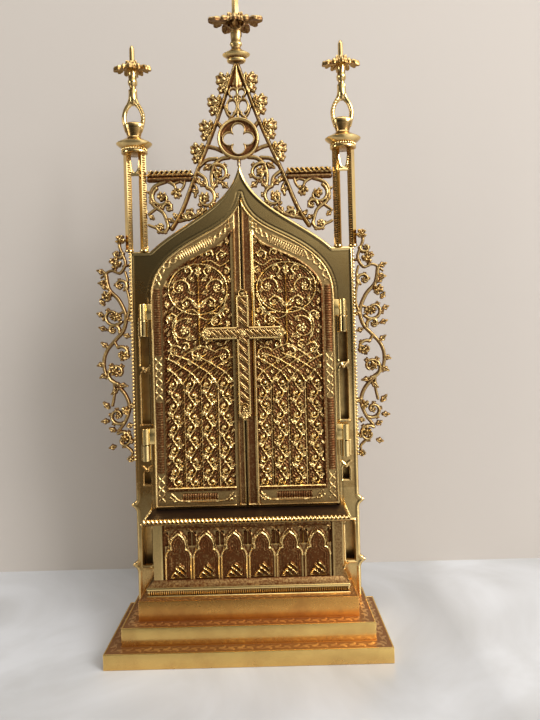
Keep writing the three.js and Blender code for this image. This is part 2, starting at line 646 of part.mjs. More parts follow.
function pinnacle(side) {
  const x = side * PINNACLE_X;
  const shaftFoot = POST_TOP + SEAT;
  const shaftHead = SHAFT_TOP + 0.5;
  const shafts = SHAFT_X.map((shaftX) => {
    const geometry = new THREE.CylinderGeometry(SHAFT_RADIUS * 0.9, SHAFT_RADIUS, shaftHead - shaftFoot, 4);
    geometry.rotateX(Math.PI / 2);
    geometry.translate(side * shaftX, PINNACLE_Y, (shaftHead + shaftFoot) / 2);
    return solid(geometry);
  });
  const capital = turned([
    [0, SHAFT_TOP - 1], [7.6, SHAFT_TOP - 1], [7.2, SHAFT_TOP + 2], [10.8, SHAFT_TOP + 5.5],
    [10.8, SHAFT_TOP + 7.5], [5, SHAFT_TOP + 9.6], [2.5, SHAFT_TOP + 18.5], [0, SHAFT_TOP + 18.5],
  ], 8, x, PINNACLE_Y);
  const around = (half) => [...half, ...half.slice(1).reverse().map((p) => point(2 * x - p.x, p.y))];
  const ring = prism(
    around(pearHalf(x, 7.2, 333.5, 352.5)), PINNACLE_Y - 2.2, 4.4, [around(pearHalf(x, 3.8, 336.8, 349.4))],
  );
  const stem = turned([
    [0, 351], [2.2, 351], [1.9, 357], [4.4, 361], [4.4, 363.4], [2, 366], [2.4, 376], [1, 379], [0.9, 388],
    [0, 388],
  ], 6, x, PINNACLE_Y);
  const bridge = block(x - 5, x + 5, PINNACLE_Y - 1, PINNACLE_Y + 1, 301, 305);
  return join([...shafts, capital, ring, stem, bridge, ...leafCross(x, PINNACLE_Y, 371, 12.6, 4.6)]);
}

// Four leaves spread from a stem, each folded like a roof and bent up at the tip.
function leafCross(x, y, z, reach, width) {
  return [0, 90, 180, 270].map((facing) => {
    const outline = [
      point(0.5, z - 1.6), point(reach * 0.6, z - 2.2), point(reach, z + 2.4), point(0.5, z + 2.4),
    ];
    const profile = new THREE.Shape(outline);
    const geometry = new THREE.ExtrudeGeometry(profile, { depth: width, bevelEnabled: false });
    geometry.rotateX(Math.PI / 2);
    geometry.translate(0, width / 2, 0);
    geometry.rotateZ(THREE.MathUtils.degToRad(facing));
    geometry.translate(x, y, 0);
    return solid(geometry);
  });
}

function centreFinial() {
  const y = PINNACLE_Y;
  const stem = turned([
    [0, 374.9], [5.6, 374.9], [6.2, 376.6], [9, 378.6], [9, 381], [4.6, 383.4], [2.6, 387], [4.8, 389.4],
    [3, 391.6], [2.4, 398], [2.8, 407], [1.6, 410], [1.2, 419], [0, 420],
  ], 8, 0, y);
  return join([stem, ...leafCross(0, y, 396, 18.4, 5.6), ...leafCross(0, y, 404, 9.6, 4.6)]);
}

function scrollWing(side) {
  const upperStem = [[78.4, 262], [80.8, 256], [78.4, 249], [77, 243.5], [80.5, 237.6], [84.6, 238.6]];
  const middleStem = [
    [90.4, 237.4], [88.3, 227], [81.8, 219.4], [77.6, 208.8], [79.5, 199.5], [84.5, 193.6], [90.6, 186.5],
    [93, 178.6], [91.3, 169.8], [85, 164.4],
  ];
  const lowerStem = [[86, 164.6], [79.4, 157], [76.8, 148.5], [79.6, 139.6], [84.4, 133]];
  const parts = [
    band(curve(upperStem, 6), side, 1.7),
    band(curve(middleStem, 11), side, 2),
    band(curve(lowerStem, 5), side, 2),
    band(spiral(82, 250.4, 3.4, 180, 240, 4, 0.6), side, 1.5),
    leafBall(82, 241.6, 4.4, side),
    band(curve([[84, 239.5], [88.4, 238.6], [93.4, 234.6]], 3), side, 1.8, 1),
    band(spiral(80.4, 229, 4.7, 215, -290, 6, 0.4), side, 1.8, 1.5),
    band(curve([[77.4, 206], [74.9, 214], [75.2, 221], [76.6, 227]], 4), side, 1.8),
    mirroredLeaf(side, 86, 224, 0, 7.4, 4),
    leafBall(86.6, 220.4, 3, side),
    band(spiral(86, 209, 7, 215, 270, 6, 0.9), side, 1.8),
    leafBall(85.4, 209, 3.8, side),
    band([point(85.4, 209), point(78.4, 212)], side, 1.6),
    band(spiral(86, 199.6, 4.4, 200, -280, 5, 0.6), side, 1.6),
    band(spiral(84.2, 171.4, 7.4, -90, 310, 7, 0.35), side, 2, 1.5),
    leafBall(84.6, 171.6, 3.4, side),
    band(spiral(80.8, 184, 5.2, 60, 300, 6, 0.4), side, 1.8, 1.4),
    leafBall(80.4, 184, 3, side),
    band([point(83.2, 188), point(86, 192.6)], side, 1.8),
    mirroredLeaf(side, 92, 175.6, -10, 5.6, 3),
    mirroredLeaf(side, 80.6, 159, 10, 8.4, 5),
    band(spiral(84.4, 143, 5.8, -130, 300, 7, 0.6), side, 1.8, 1.5),
    leafBall(80.4, 145.4, 3, side),
    band(spiral(80.8, 127, 5.9, 50, 320, 7, 0.5), side, 1.9, 1.5),
    leafBall(80.8, 127.4, 3.2, side),
    band(curve([[80.6, 123.8], [75.4, 118.6], [78.4, 112.6]], 3), side, 1.8, 1),
    ...[242.6, 206.5, 148.6, 127].map((z) => (
      band([point(WING_EDGE, z), point(78.2, z - 0.6)], side, 1.9)
    )),
  ];
  return join(parts);
}

base();
predella();
frontFrame();
caseBehind();
doors();
gable();
[-1, 1].forEach((side) => {
  const name = side < 0 ? 'left' : 'right';
  addMesh(`${name}_crest_grille`, crestGrille(side), CAST_BRASS);
  addMesh(`${name}_pinnacle`, pinnacle(side), BRIGHT_BRASS);
  addMesh(`${name}_scroll_wing`, scrollWing(side), CAST_BRASS);
});
addMesh('centre_finial', centreFinial(), CAST_BRASS);

export default root;
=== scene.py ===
import math

import bmesh
import bpy
import numpy as np
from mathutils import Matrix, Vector


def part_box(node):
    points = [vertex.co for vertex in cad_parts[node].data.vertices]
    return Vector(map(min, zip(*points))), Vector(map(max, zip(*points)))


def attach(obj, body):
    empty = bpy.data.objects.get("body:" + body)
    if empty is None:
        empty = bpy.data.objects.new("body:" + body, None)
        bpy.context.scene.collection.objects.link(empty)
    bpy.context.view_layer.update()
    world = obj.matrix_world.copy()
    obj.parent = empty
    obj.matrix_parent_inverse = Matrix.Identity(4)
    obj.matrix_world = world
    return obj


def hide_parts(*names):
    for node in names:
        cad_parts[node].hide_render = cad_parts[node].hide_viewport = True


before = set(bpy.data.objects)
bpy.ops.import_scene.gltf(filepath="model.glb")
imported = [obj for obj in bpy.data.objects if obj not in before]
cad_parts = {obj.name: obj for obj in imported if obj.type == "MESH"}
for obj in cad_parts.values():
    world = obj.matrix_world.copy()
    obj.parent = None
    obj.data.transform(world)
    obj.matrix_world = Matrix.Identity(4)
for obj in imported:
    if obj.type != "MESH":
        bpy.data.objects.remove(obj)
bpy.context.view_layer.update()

# View: the camera stands level with the cross, a third of a metre before the doors and a little to the
# right, and is turned by 1.5 degrees about its own axis.
CAMERA_PLACE = (0.0154, -0.3473, 0.188)
CAMERA_ROLL = 1.5
LONG_SIDE = 720
FOCAL_PIXELS = 541
camera = bpy.data.objects.new("camera", bpy.data.cameras.new("camera"))
bpy.context.scene.collection.objects.link(camera)
camera.location = CAMERA_PLACE
camera.rotation_mode = "XYZ"
camera.rotation_euler = (math.radians(90), math.radians(CAMERA_ROLL), 0)
camera.data.sensor_width = 36
camera.data.lens = 36 * FOCAL_PIXELS / LONG_SIDE
camera.data.shift_x = 3 / LONG_SIDE
camera.data.shift_y = -16 / LONG_SIDE
camera.data.clip_start = 0.01
bpy.context.scene.camera = camera

# Stage: a pale stone floor and a plain grey-beige backdrop that shows only from its front, so that the
# back of the shrine can be looked at too.
FLOOR_END = 0.113
# The floor's colour carries painted shade towards the front and painted light towards the right.
FLOOR_SHADE = (-0.19, -0.11)
FLOOR_PAINTED_LIGHT_SIDE = (0.075, 0.15)


def plain_surface(name, corners, material):
    mesh = bpy.data.meshes.new(name)
    mesh.from_pydata(corners, [], [tuple(range(len(corners)))])
    mesh.materials.append(material)
    surface = bpy.data.objects.new(name, mesh)
    bpy.context.scene.collection.objects.link(surface)
    return surface


def new_material(name):
    material = bpy.data.materials.new(name)
    material.use_nodes = True
    shader = material.node_tree.nodes["Principled BSDF"]
    return material, material.node_tree, shader


def new_node(tree, kind, values=None, **settings):
    """A node with its settings and the values of its sockets filled in."""
    node = tree.nodes.new(kind)
    for name, value in settings.items():
        setattr(node, name, value)
    for socket, value in (values or {}).items():
        node.inputs[socket].default_value = value
    return node


def wire(tree, *links):
    """Links nodes, each link given as a node, its output, the next node and its input."""
    for first, output, following, socket in links:
        tree.links.new(first.outputs[output], following.inputs[socket])


def colour_ramp(tree, stops):
    """A ramp node from (place, colour) pairs in rising order."""
    ramp = tree.nodes.new("ShaderNodeValToRGB")
    elements = ramp.color_ramp.elements
    for k in (0, -1):
        elements[k].position = stops[k][0]
        elements[k].color = (*stops[k][1], 1)
    for place, colour in stops[1:-1]:
        elements.new(place).color = (*colour, 1)
    return ramp


def stone():
    material, tree, shader = new_material("pale stone")
    place = tree.nodes.new("ShaderNodeTexCoord")
    split = tree.nodes.new("ShaderNodeSeparateXYZ")
    cloud = new_node(tree, "ShaderNodeTexNoise", {"Scale": 7, "Detail": 5, "Distortion": 1.2})
    tint = colour_ramp(tree, ((0.35, (0.40, 0.405, 0.41)), (0.6, (0.535, 0.55, 0.575))))
    # Painted shade: the floor's colour falls off towards the front. Painted light: it rises towards the
    # right.
    near, far = FLOOR_SHADE
    painted_shade_to_front = new_node(
        tree, "ShaderNodeMapRange", {"From Min": near, "From Max": far, "To Min": 0.3},
        interpolation_type="SMOOTHSTEP",
    )
    dim, bright = FLOOR_PAINTED_LIGHT_SIDE
    painted_light_to_right = new_node(
        tree, "ShaderNodeMapRange", {"From Min": dim, "From Max": bright, "To Max": 1.15},
        interpolation_type="SMOOTHSTEP",
    )
    lighter = new_node(tree, "ShaderNodeMath", operation="MAXIMUM")
    shaded = new_node(tree, "ShaderNodeVectorMath", operation="SCALE")
    wire(
        tree,
        (place, "Object", cloud, "Vector"), (place, "Object", split, "Vector"),
        (split, "Y", painted_shade_to_front, "Value"), (split, "X", painted_light_to_right, "Value"),
        (painted_shade_to_front, "Result", lighter, 0), (painted_light_to_right, "Result", lighter, 1),
        (cloud, "Fac", tint, "Fac"), (tint, "Color", shaded, 0),
        (lighter, "Value", shaded, "Scale"), (shaded, "Vector", shader, "Base Color"),
    )
    shader.inputs["Roughness"].default_value = 0.32
    return material


def plaster():
    material, tree, shader = new_material("backdrop plaster")
    shader.inputs["Base Color"].default_value = (0.50, 0.46, 0.42, 1)
    shader.inputs["Roughness"].default_value = 0.9
    geometry = tree.nodes.new("ShaderNodeNewGeometry")
    clear = tree.nodes.new("ShaderNodeBsdfTransparent")
    side = tree.nodes.new("ShaderNodeMixShader")
    wire(
        tree,
        (geometry, "Backfacing", side, "Fac"), (shader, "BSDF", side, 1), (clear, "BSDF", side, 2),
        (side, "Shader", tree.nodes["Material Output"], "Surface"),
    )
    return material


plain_surface("floor", [(-3, -3, 0), (3, -3, 0), (3, 3, 0), (-3, 3, 0)], stone())
plain_surface(
    "backdrop",
    [(-3, FLOOR_END, 0), (3, FLOOR_END, 0), (3, FLOOR_END, 2.5), (-3, FLOOR_END, 2.5)],
    plaster(),
)


# Light: a room that is bright on the right and overhead and dim on the left, one broad window light
# from the upper right, and a weak fill from the left.
def room_light():
    world = bpy.data.worlds.new("room")
    world.use_nodes = True
    bpy.context.scene.world = world
    tree = world.node_tree
    background = tree.nodes["Background"]
    place = tree.nodes.new("ShaderNodeTexCoord")
    split = tree.nodes.new("ShaderNodeSeparateXYZ")
    to_share = new_node(tree, "ShaderNodeMapRange", {"From Min": -1})
    to_height = new_node(tree, "ShaderNodeMapRange", {"From Min": -1})
    across = colour_ramp(tree, (
        (0.15, (0.06, 0.06, 0.055)), (0.40, (0.11, 0.105, 0.095)), (0.49, (0.20, 0.19, 0.17)),
        (0.56, (0.69, 0.66, 0.59)), (0.68, (0.79, 0.745, 0.68)), (0.9, (1.6, 1.55, 1.45)),
    ))
    levels = ((0.44, 0.4), (0.5, 0.2), (0.57, 0.4), (0.63, 1.5), (0.72, 2.4), (0.9, 2.6))
    upward = colour_ramp(tree, [(height, (level, level, level)) for height, level in levels])
    brighten = new_node(tree, "ShaderNodeVectorMath", operation="MULTIPLY")
    wire(
        tree,
        (place, "Generated", split, "Vector"),
        (split, "X", to_share, "Value"), (to_share, "Result", across, "Fac"),
        (split, "Z", to_height, "Value"), (to_height, "Result", upward, "Fac"),
        (across, "Color", brighten, 0), (upward, "Color", brighten, 1),
        (brighten, "Vector", background, "Color"),
    )
    background.inputs["Strength"].default_value = 0.75


def soft_light(name, place, target, size, watts, colour):
    lamp = bpy.data.lights.new(name, "AREA")
    lamp.shape = "RECTANGLE"
    lamp.size = size[0]
    lamp.size_y = size[1]
    lamp.energy = watts
    lamp.color = colour
    lamp_object = bpy.data.objects.new(name, lamp)
    bpy.context.scene.collection.objects.link(lamp_object)
    lamp_object.location = place
    aim = Vector(target) - Vector(place)
    lamp_object.rotation_mode = "QUATERNION"
    lamp_object.rotation_quaternion = aim.to_track_quat("-Z", "Y")
    return lamp_object


room_light()
soft_light("window", (1.3, -1.2, 1.0), (0, 0, 0.2), (0.7, 1.0), 31, (1.0, 0.98, 0.97))
soft_light("side_fill", (-1.1, -0.7, 0.5), (0, 0, 0.1), (0.35, 0.6), 3.6, (1.0, 0.97, 0.93))
soft_light("ceiling", (0.1, -0.25, 1.3), (0, 0, 0.1), (0.8, 0.8), 3.6, (1.0, 0.98, 0.98))
bpy.context.scene.view_settings.view_transform = "Standard"

# Base: three hollow-cast steps of polished brass. Each has a bright raised lip round a sunk top, which
# is red-brown and carries a low running vine.
MM = 0.001
BODY = "shrine_body"


def box_mm(node):
    low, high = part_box(node)
    return np.array(low) / MM, np.array(high) / MM


def add_sockets(tree, way, *sockets):
    for label, kind in sockets:
        tree.interface.new_socket(label, in_out=way, socket_type=f"NodeSocket{kind}")


def brass_finish():
    """The colour of old gilt brass: bright where it is rubbed, red-brown in the hollows, with smudges."""
    group = bpy.data.node_groups.new("brass finish", "ShaderNodeTree")
    add_sockets(
        group, "INPUT", ("Bright", "Color"), ("Hollow", "Color"), ("Smudges", "Float"),
        ("Gloss", "Float"), ("Dullness", "Float"),
    )
    add_sockets(group, "OUTPUT", ("Color", "Color"), ("Roughness", "Float"), ("Height", "Float"))
    start = group.nodes.new("NodeGroupInput")
    end = group.nodes.new("NodeGroupOutput")
    place = group.nodes.new("ShaderNodeTexCoord")
    depth = new_node(group, "ShaderNodeAttribute", attribute_name="hollow")
    clouds = new_node(group, "ShaderNodeTexNoise", {"Scale": 55, "Detail": 6, "Roughness": 0.65})
    grain = new_node(group, "ShaderNodeTexNoise", {"Scale": 900, "Detail": 3})
    smear = new_node(group, "ShaderNodeMapRange", {"From Min": 0.42, "From Max": 0.68})
    speckle = new_node(group, "ShaderNodeMapRange", {
        "From Min": 0.3, "From Max": 0.7, "To Min": -0.22, "To Max": 0.22,
    })
    smudged = new_node(group, "ShaderNodeMath", operation="MULTIPLY")
    broken = new_node(group, "ShaderNodeMath", operation="MULTIPLY_ADD")
    total = new_node(group, "ShaderNodeMath", operation="ADD", use_clamp=True)
    colour = new_node(group, "ShaderNodeMix", data_type="RGBA")
    gloss = new_node(group, "ShaderNodeMix", data_type="FLOAT")
    wire(
        group,
        (place, "Object", clouds, "Vector"), (place, "Object", grain, "Vector"),
        (clouds, "Fac", smear, "Value"), (smear, "Result", smudged, 0), (start, "Smudges", smudged, 1),
        (grain, "Fac", speckle, "Value"),
        (depth, "Fac", broken, 0), (speckle, "Result", broken, 1), (depth, "Fac", broken, 2),
        (broken, "Value", total, 0), (smudged, "Value", total, 1),
        (total, "Value", colour, "Factor"), (start, "Bright", colour, "A"), (start, "Hollow", colour, "B"),
        (total, "Value", gloss, "Factor"), (start, "Gloss", gloss, "A"), (start, "Dullness", gloss, "B"),
        (colour, "Result", end, "Color"), (gloss, "Result", end, "Roughness"), (grain, "Fac", end, "Height"),
    )
    return group


FINISH = brass_finish()


def brass(name, bright, hollow, smudges, gloss, dullness, bump):
    """Brass by its two colours, share of smudges, roughness when bright and when brown, and grain."""
    material, tree, shader = new_material(name)
    finish = new_node(tree, "ShaderNodeGroup", {
        "Bright": (*bright, 1), "Hollow": (*hollow, 1), "Smudges": smudges, "Gloss": gloss,
        "Dullness": dullness,
    }, node_tree=FINISH)
    grain = new_node(tree, "ShaderNodeBump", {"Strength": bump, "Distance": 0.0001})
    wire(
        tree,
        (finish, "Color", shader, "Base Color"), (finish, "Roughness", shader, "Roughness"),
        (finish, "Height", grain, "Height"), (grain, "Normal", shader, "Normal"),
    )
    shader.inputs["Metallic"].default_value = 1.0
    return material


POLISHED = brass("polished brass", (0.84, 0.62, 0.27), (0.34, 0.19, 0.06), 0.3, 0.12, 0.28, 0.12)
CAST = brass("cast brass", (0.90, 0.66, 0.27), (0.135, 0.05, 0.017), 0.12, 0.22, 0.5, 0.3)
STEP = brass("warm polished brass", (0.92, 0.63, 0.21), (0.50, 0.25, 0.08), 0.3, 0.2, 0.36, 0.15)
REDDENED = brass("reddened brass", (0.80, 0.42, 0.11), (0.42, 0.17, 0.05), 0.5, 0.25, 0.4, 0.2)
PATINA = brass("red-brown patina", (0.84, 0.54, 0.23), (0.33, 0.16, 0.065), 0.55, 0.38, 0.5, 0.3)


def mesh_from(name, vertices, faces, hollow):
    """A mesh from points in millimetres and one array of faces for each number of corners."""
    mesh = bpy.data.meshes.new(name)
    faces = [np.asarray(group, int) for group in faces if len(group)]
    corners = np.concatenate([group.ravel() for group in faces])
    sizes = np.concatenate([np.full(len(group), group.shape[1]) for group in faces])
    starts = np.concatenate([[0], np.cumsum(sizes)[:-1]])
    mesh.vertices.add(len(vertices))
    mesh.vertices.foreach_set("co", (np.asarray(vertices, float) * MM).ravel())
    mesh.loops.add(len(corners))
    mesh.loops.foreach_set("vertex_index", corners)
    mesh.polygons.add(len(sizes))
    mesh.polygons.foreach_set("loop_start", starts)
    mesh.update(calc_edges=True)
    mesh.validate()
    depth = mesh.attributes.new("hollow", "FLOAT", "POINT")
    depth.data.foreach_set("value", np.asarray(hollow, float))
    return mesh


def merge_flat_back(mesh):
    """Joins the many small faces of a casting's flat back into patches of a few millimetres."""
    patch = 0.004
    work = bmesh.new()
    work.from_mesh(mesh)
    work.normal_update()
    patches = {}
    for face in work.faces:
        if face.normal.y > 0.9999:
            middle = face.calc_center_median()
            patches[face] = (int(middle.x // patch), int(middle.z // patch))
    edges = []
    for edge in work.edges:
        beside = [patches.get(face) for face in edge.link_faces]
        if len(beside) == 2 and beside[0] is not None and beside[0] == beside[1]:
            edges.append(edge)
    bmesh.ops.dissolve_edges(work, edges=edges, use_verts=False, use_face_split=False)
    work.to_mesh(mesh)
    work.free()


def piece(name, skin, material, slot, body=BODY, stands_for=(), crease=38, merge_back=False):
    """A finished piece from its (vertices, faces, hollow), on its body; its slot is not used."""
    mesh = mesh_from(name, *skin)
    if merge_back:
        merge_flat_back(mesh)
    mesh.materials.append(material)
    mesh.polygons.foreach_set("use_smooth", np.ones(len(mesh.polygons), bool))
    mesh.set_sharp_from_angle(angle=math.radians(crease))
    made = bpy.data.objects.new(name, mesh)
    bpy.context.scene.collection.objects.link(made)
    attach(made, body)
    if stands_for:
        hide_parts(*stands_for)
    return made


def rectangle(x0, x1, y0, y1, inset, height, corner):
    """A level ring of points round a rectangle with rounded corners, set in from its outline."""
    x0, x1, y0, y1 = x0 + inset, x1 - inset, y0 + inset, y1 - inset
    radius = max(corner - inset, 0.05)
    ring = []
    for k, (cx, cy) in enumerate(((x1, y0), (x1, y1), (x0, y1), (x0, y0))):
        centre = (cx + (-radius if cx == x1 else radius), cy + (-radius if cy == y1 else radius))
        for share in range(5):
            angle = math.radians(-90 + 90 * k + 90 * share / 4)
            ring.append((centre[0] + radius * math.cos(angle), centre[1] + radius * math.sin(angle), height))
    return np.array(ring)


def loft(rings, hollow=None):
    """A closed skin over a stack of rings that have the same number of points."""
    count = len(rings[0])
    vertices = np.concatenate(rings)
    index = np.arange(len(vertices)).reshape(len(rings), count)
    nearer = index[:-1]
    farther = index[1:]
    sides = np.stack(
        [nearer, np.roll(nearer, -1, 1), np.roll(farther, -1, 1), farther], axis=-1
    ).reshape(-1, 4)
    caps = np.stack([index[0][::-1], index[-1]])
    tint = None if hollow is None else np.repeat(hollow, count)
    return vertices, [sides, caps], tint


BLOCK_CORNER = 0.4


def moulding(low, high, profile, open_back=False):
    """Rings for a moulded block: the profile is a list of (inset, height above its foot, hollow)."""
    rings = []
    for inset, rise, _ in profile:
        ring = rectangle(low[0], high[0], low[1], high[1], inset, low[2] + rise, BLOCK_CORNER)
        if open_back:
            ring[:, 1] = np.where(ring[:, 1] > (low[1] + high[1]) / 2, ring[:, 1] + inset, ring[:, 1])
        rings.append(ring)
    return loft(rings, [entry[2] for entry in profile])


class Casting:
    """A flat casting as heights over a grid, with the distance to the edge of its metal."""

    def __init__(self, low, high, step):
        self.step = step
        self.x = np.arange(low[0] - step, high[0] + 1.5 * step, step)
        self.z = np.arange(low[1] - step, high[1] + 1.5 * step, step)
        self.X, self.Z = np.meshgrid(self.x, self.z, indexing="ij")
        self.metal = np.full(self.X.shape, -5.0)
        self.height = np.zeros(self.X.shape)
        self.patina = np.zeros(self.X.shape)

    def window(self, points, reach):
        low = np.min(points, axis=0) - reach
        high = np.max(points, axis=0) + reach
        i = np.searchsorted(self.x, [low[0], high[0]])
        j = np.searchsorted(self.z, [low[1], high[1]])
        return slice(max(i[0] - 1, 0), i[1] + 1), slice(max(j[0] - 1, 0), j[1] + 1)

    def lay(self, place, metal, height):
        self.metal[place] = np.maximum(self.metal[place], metal)
        self.height[place] = np.maximum(self.height[place], np.where(metal > 0, height, 0))

    def trim(self, x0, x1, z0, z1):
        """Keeps only the metal inside a box."""
        across = np.minimum(self.X - x0, x1 - self.X)
        upward = np.minimum(self.Z - z0, z1 - self.Z)
        self.metal = np.minimum(self.metal, np.minimum(across, upward))

    def paint(self, where, height, patina):
        """Gives a part of the casting a height and a patina of its own, which in places also carries painted
        shade.
        """
        self.height = np.where(where, height, self.height)
        self.patina = np.where(where, patina, self.patina)

    def stem(self, points, width, height, end_width=None, groove=0.0, ridge=False):
        """A stem along a line, which may taper: round-backed, grooved along its middle, or ridged."""
        points = np.asarray(points, float)
        widths = np.linspace(width, width if end_width is None else end_width, len(points))
        for a, b, first, last in zip(points[:-1], points[1:], widths[:-1], widths[1:]):
            place = self.window([a, b], max(first, last) / 2 + self.step)
            x = self.X[place] - a[0]
            z = self.Z[place] - a[1]
            along = b - a
            share = np.clip((x * along[0] + z * along[1]) / max(along @ along, 1e-9), 0, 1)
            away = np.hypot(x - share * along[0], z - share * along[1])
            half = (first + (last - first) * share) / 2
            across = np.clip(away / half, 0, 1)
            rise = height * ((1 - across) if ridge else (1 - across ** 2) ** 0.7)
            if groove:
                rise = rise - groove * np.exp(-((across / 0.28) ** 2))
            self.lay(place, half - away, rise)

    def local(self, place, x, z, angle):
        """Coordinates along and across a direction, from a point."""
        turn = math.radians(angle)
        dx = self.X[place] - x
        dz = self.Z[place] - z
        return dx * math.cos(turn) + dz * math.sin(turn), dz * math.cos(turn) - dx * math.sin(turn)

    def leaf(self, x, z, angle, length, width, height, lobes=3):
        """A lobed leaf with a raised rim and a sunk vein, from its stalk towards `angle`."""
        place = self.window([(x, z)], length * 1.1 + width)
        along, across = self.local(place, x, z, angle)
        share = np.clip(along / length, 0.001, 0.999)
        waist = np.sin(np.pi * share ** 0.8) ** 0.75
        half = width / 2 * waist * (1 + 0.2 * np.cos(2 * np.pi * lobes * share))
        side = np.clip(np.abs(across) / np.maximum(half, 0.05), 0, 1.2)
        metal = np.minimum(half - np.abs(across), np.minimum(along + 0.2, length - along))
        ribs = 0.22 * np.cos(2 * np.pi * (lobes * share - 0.9 * side)) * np.sin(np.pi * np.clip(side, 0, 1))
        rise = height * (np.sqrt(np.clip(1 - side ** 2, 0, 1)) + ribs - 0.38 * np.exp(-((side / 0.22) ** 2)))
        self.lay(place, metal, np.clip(rise, 0, None))

    def ball(self, x, z, radius, height, petals=0, turn=0.0):
        """A boss, smooth or cut into petals round a small eye."""
        place = self.window([(x, z)], radius + self.step)
        dx = self.X[place] - x
        dz = self.Z[place] - z
        away = np.hypot(dx, dz)
        reach = radius
        rise = np.sqrt(np.clip(1 - (away / radius) ** 2, 0, 1))
        if petals:
            angle = np.arctan2(dz, dx) - math.radians(turn)
            wave = np.cos(petals * angle)
            reach = radius * (0.86 + 0.14 * wave)
            rise = rise * (0.80 + 0.20 * wave * np.clip(away / radius * 2, 0, 1))
            rise = rise - 0.3 * np.exp(-(((away - 0.36 * radius) / (0.13 * radius)) ** 2))
        self.lay(place, reach - away, height * np.clip(rise, 0, 1))

    def hollows(self):
        """How deep each point lies among its neighbours, from 0 on the high points to 1."""
        reach = max(int(round(0.9 / self.step)), 1)
        width = 2 * reach + 1
        mean = self.height.copy()
        for _ in range(2):
            for axis in (0, 1):
                mean = np.moveaxis(mean, axis, 0)
                total = np.cumsum(np.pad(mean, [(reach + 1, reach), (0, 0)], mode="edge"), axis=0)
                mean = np.moveaxis((total[width:] - total[:-width]) / width, 0, axis)
        sunk = np.clip(0.32 - (self.height - mean) / 0.55, 0, 1)
        return np.clip(sunk + self.patina, 0, 1)


BACK_HOLLOW = 0.55


def cast_mesh(casting, front, back, whole_back=False):
    """The casting as a closed skin: its relief stands before `front`, its walls end on a flat back."""
    inside = casting.metal > 0
    hollow = casting.hollows()
    layers = [casting.X, casting.Z, casting.height, hollow]
    found = [[layer[inside] for layer in layers]]
    number = np.cumsum(inside).reshape(inside.shape) - 1
    count = int(inside.sum())

    def crossings(near, far):
        nonlocal count
        cross = inside[near] != inside[far]
        first = casting.metal[near][cross]
        second = casting.metal[far][cross]
        share = np.clip(first / (first - second), 0.04, 0.96)
        found.append([layer[near][cross] * (1 - share) + layer[far][cross] * share for layer in layers])
        ids = np.full(cross.shape, -1)
        ids[cross] = count + np.arange(int(cross.sum()))
        count += int(cross.sum())
        return ids

    everything = slice(None)
    level = crossings((slice(None, -1), everything), (slice(1, None), everything))
    upright = crossings((everything, slice(None, -1)), (everything, slice(1, None)))
    x, z, rise, depth = (np.concatenate([part[k] for part in found]) for k in range(4))

    kind = (
        inside[:-1, :-1] * 1 + inside[1:, :-1] * 2 + inside[1:, 1:] * 4 + inside[:-1, 1:] * 8
    )
    fronts = []
    walls = []
    for case in range(1, 16):
        i, j = np.nonzero(kind == case)
        if not len(i):
            continue
        corner = [number[i, j], number[i + 1, j], number[i + 1, j + 1], number[i, j + 1]]
        edge = [level[i, j], upright[i + 1, j], level[i, j + 1], upright[i, j]]
        columns = []
        for k in range(4):
            here = bool(case >> k & 1)
            after = bool(case >> (k + 1) % 4 & 1)
            if here:
                columns.append((corner[k], False))
            if here != after:
                columns.append((edge[k], True))
        fronts.append(np.stack([column for column, _ in columns], axis=1))
        for (one, cut_one), (two, cut_two) in zip(columns, columns[1:] + columns[:1]):
            if cut_one and cut_two:
                walls.append(np.stack([one, two], axis=1))
    rim = np.concatenate(walls)
    wall = np.stack([rim[:, 1], rim[:, 0], rim[:, 0] + count, rim[:, 1] + count], axis=1)
    vertices = np.concatenate([
        np.stack([x, front - rise, z], axis=1),
        np.stack([x, np.full(len(x), float(back)), z], axis=1),
    ])
    if whole_back:
        after = dict(rim.tolist())
        first = int(rim[0, 0])
        loop = [first]
        while after[loop[-1]] != first:
            loop.append(after[loop[-1]])
        backs = [np.array([loop[::-1]]) + count]
    else:
        backs = [group[:, ::-1] + count for group in fronts]
    faces = [*fronts, wall, *backs]
    used = np.unique(np.concatenate([group.ravel() for group in faces]))
    renumber = np.full(len(vertices), -1)
    renumber[used] = np.arange(len(used))
    depth = np.concatenate([depth, np.full(len(depth), BACK_HOLLOW)])
    return vertices[used], [renumber[group] for group in faces], depth[used]


def laid_flat(vertices, level):
    """Turns a casting drawn upright so that its relief looks up from a level."""
    return np.stack([vertices[:, 0], vertices[:, 2], level - vertices[:, 1]], axis=1)


def joined(parts):
    """Several (vertices, faces, hollow) skins as one."""
    vertices = []
    faces = []
    hollow = []
    start = 0
    for part_vertices, part_faces, part_hollow in parts:
        vertices.append(part_vertices)
        faces.extend(np.asarray(group) + start for group in part_faces)
        hollow.append(np.zeros(len(part_vertices)) if part_hollow is None else part_hollow)
        start += len(part_vertices)
    return np.concatenate(vertices), faces, np.concatenate(hollow)


LIP = 1.0
SUNK = 0.3
# The vine's ground stands a little above the tray's floor, and its underside is let into that floor.
STRIP_GROUND = 0.12
STRIP_SEAT = 0.08


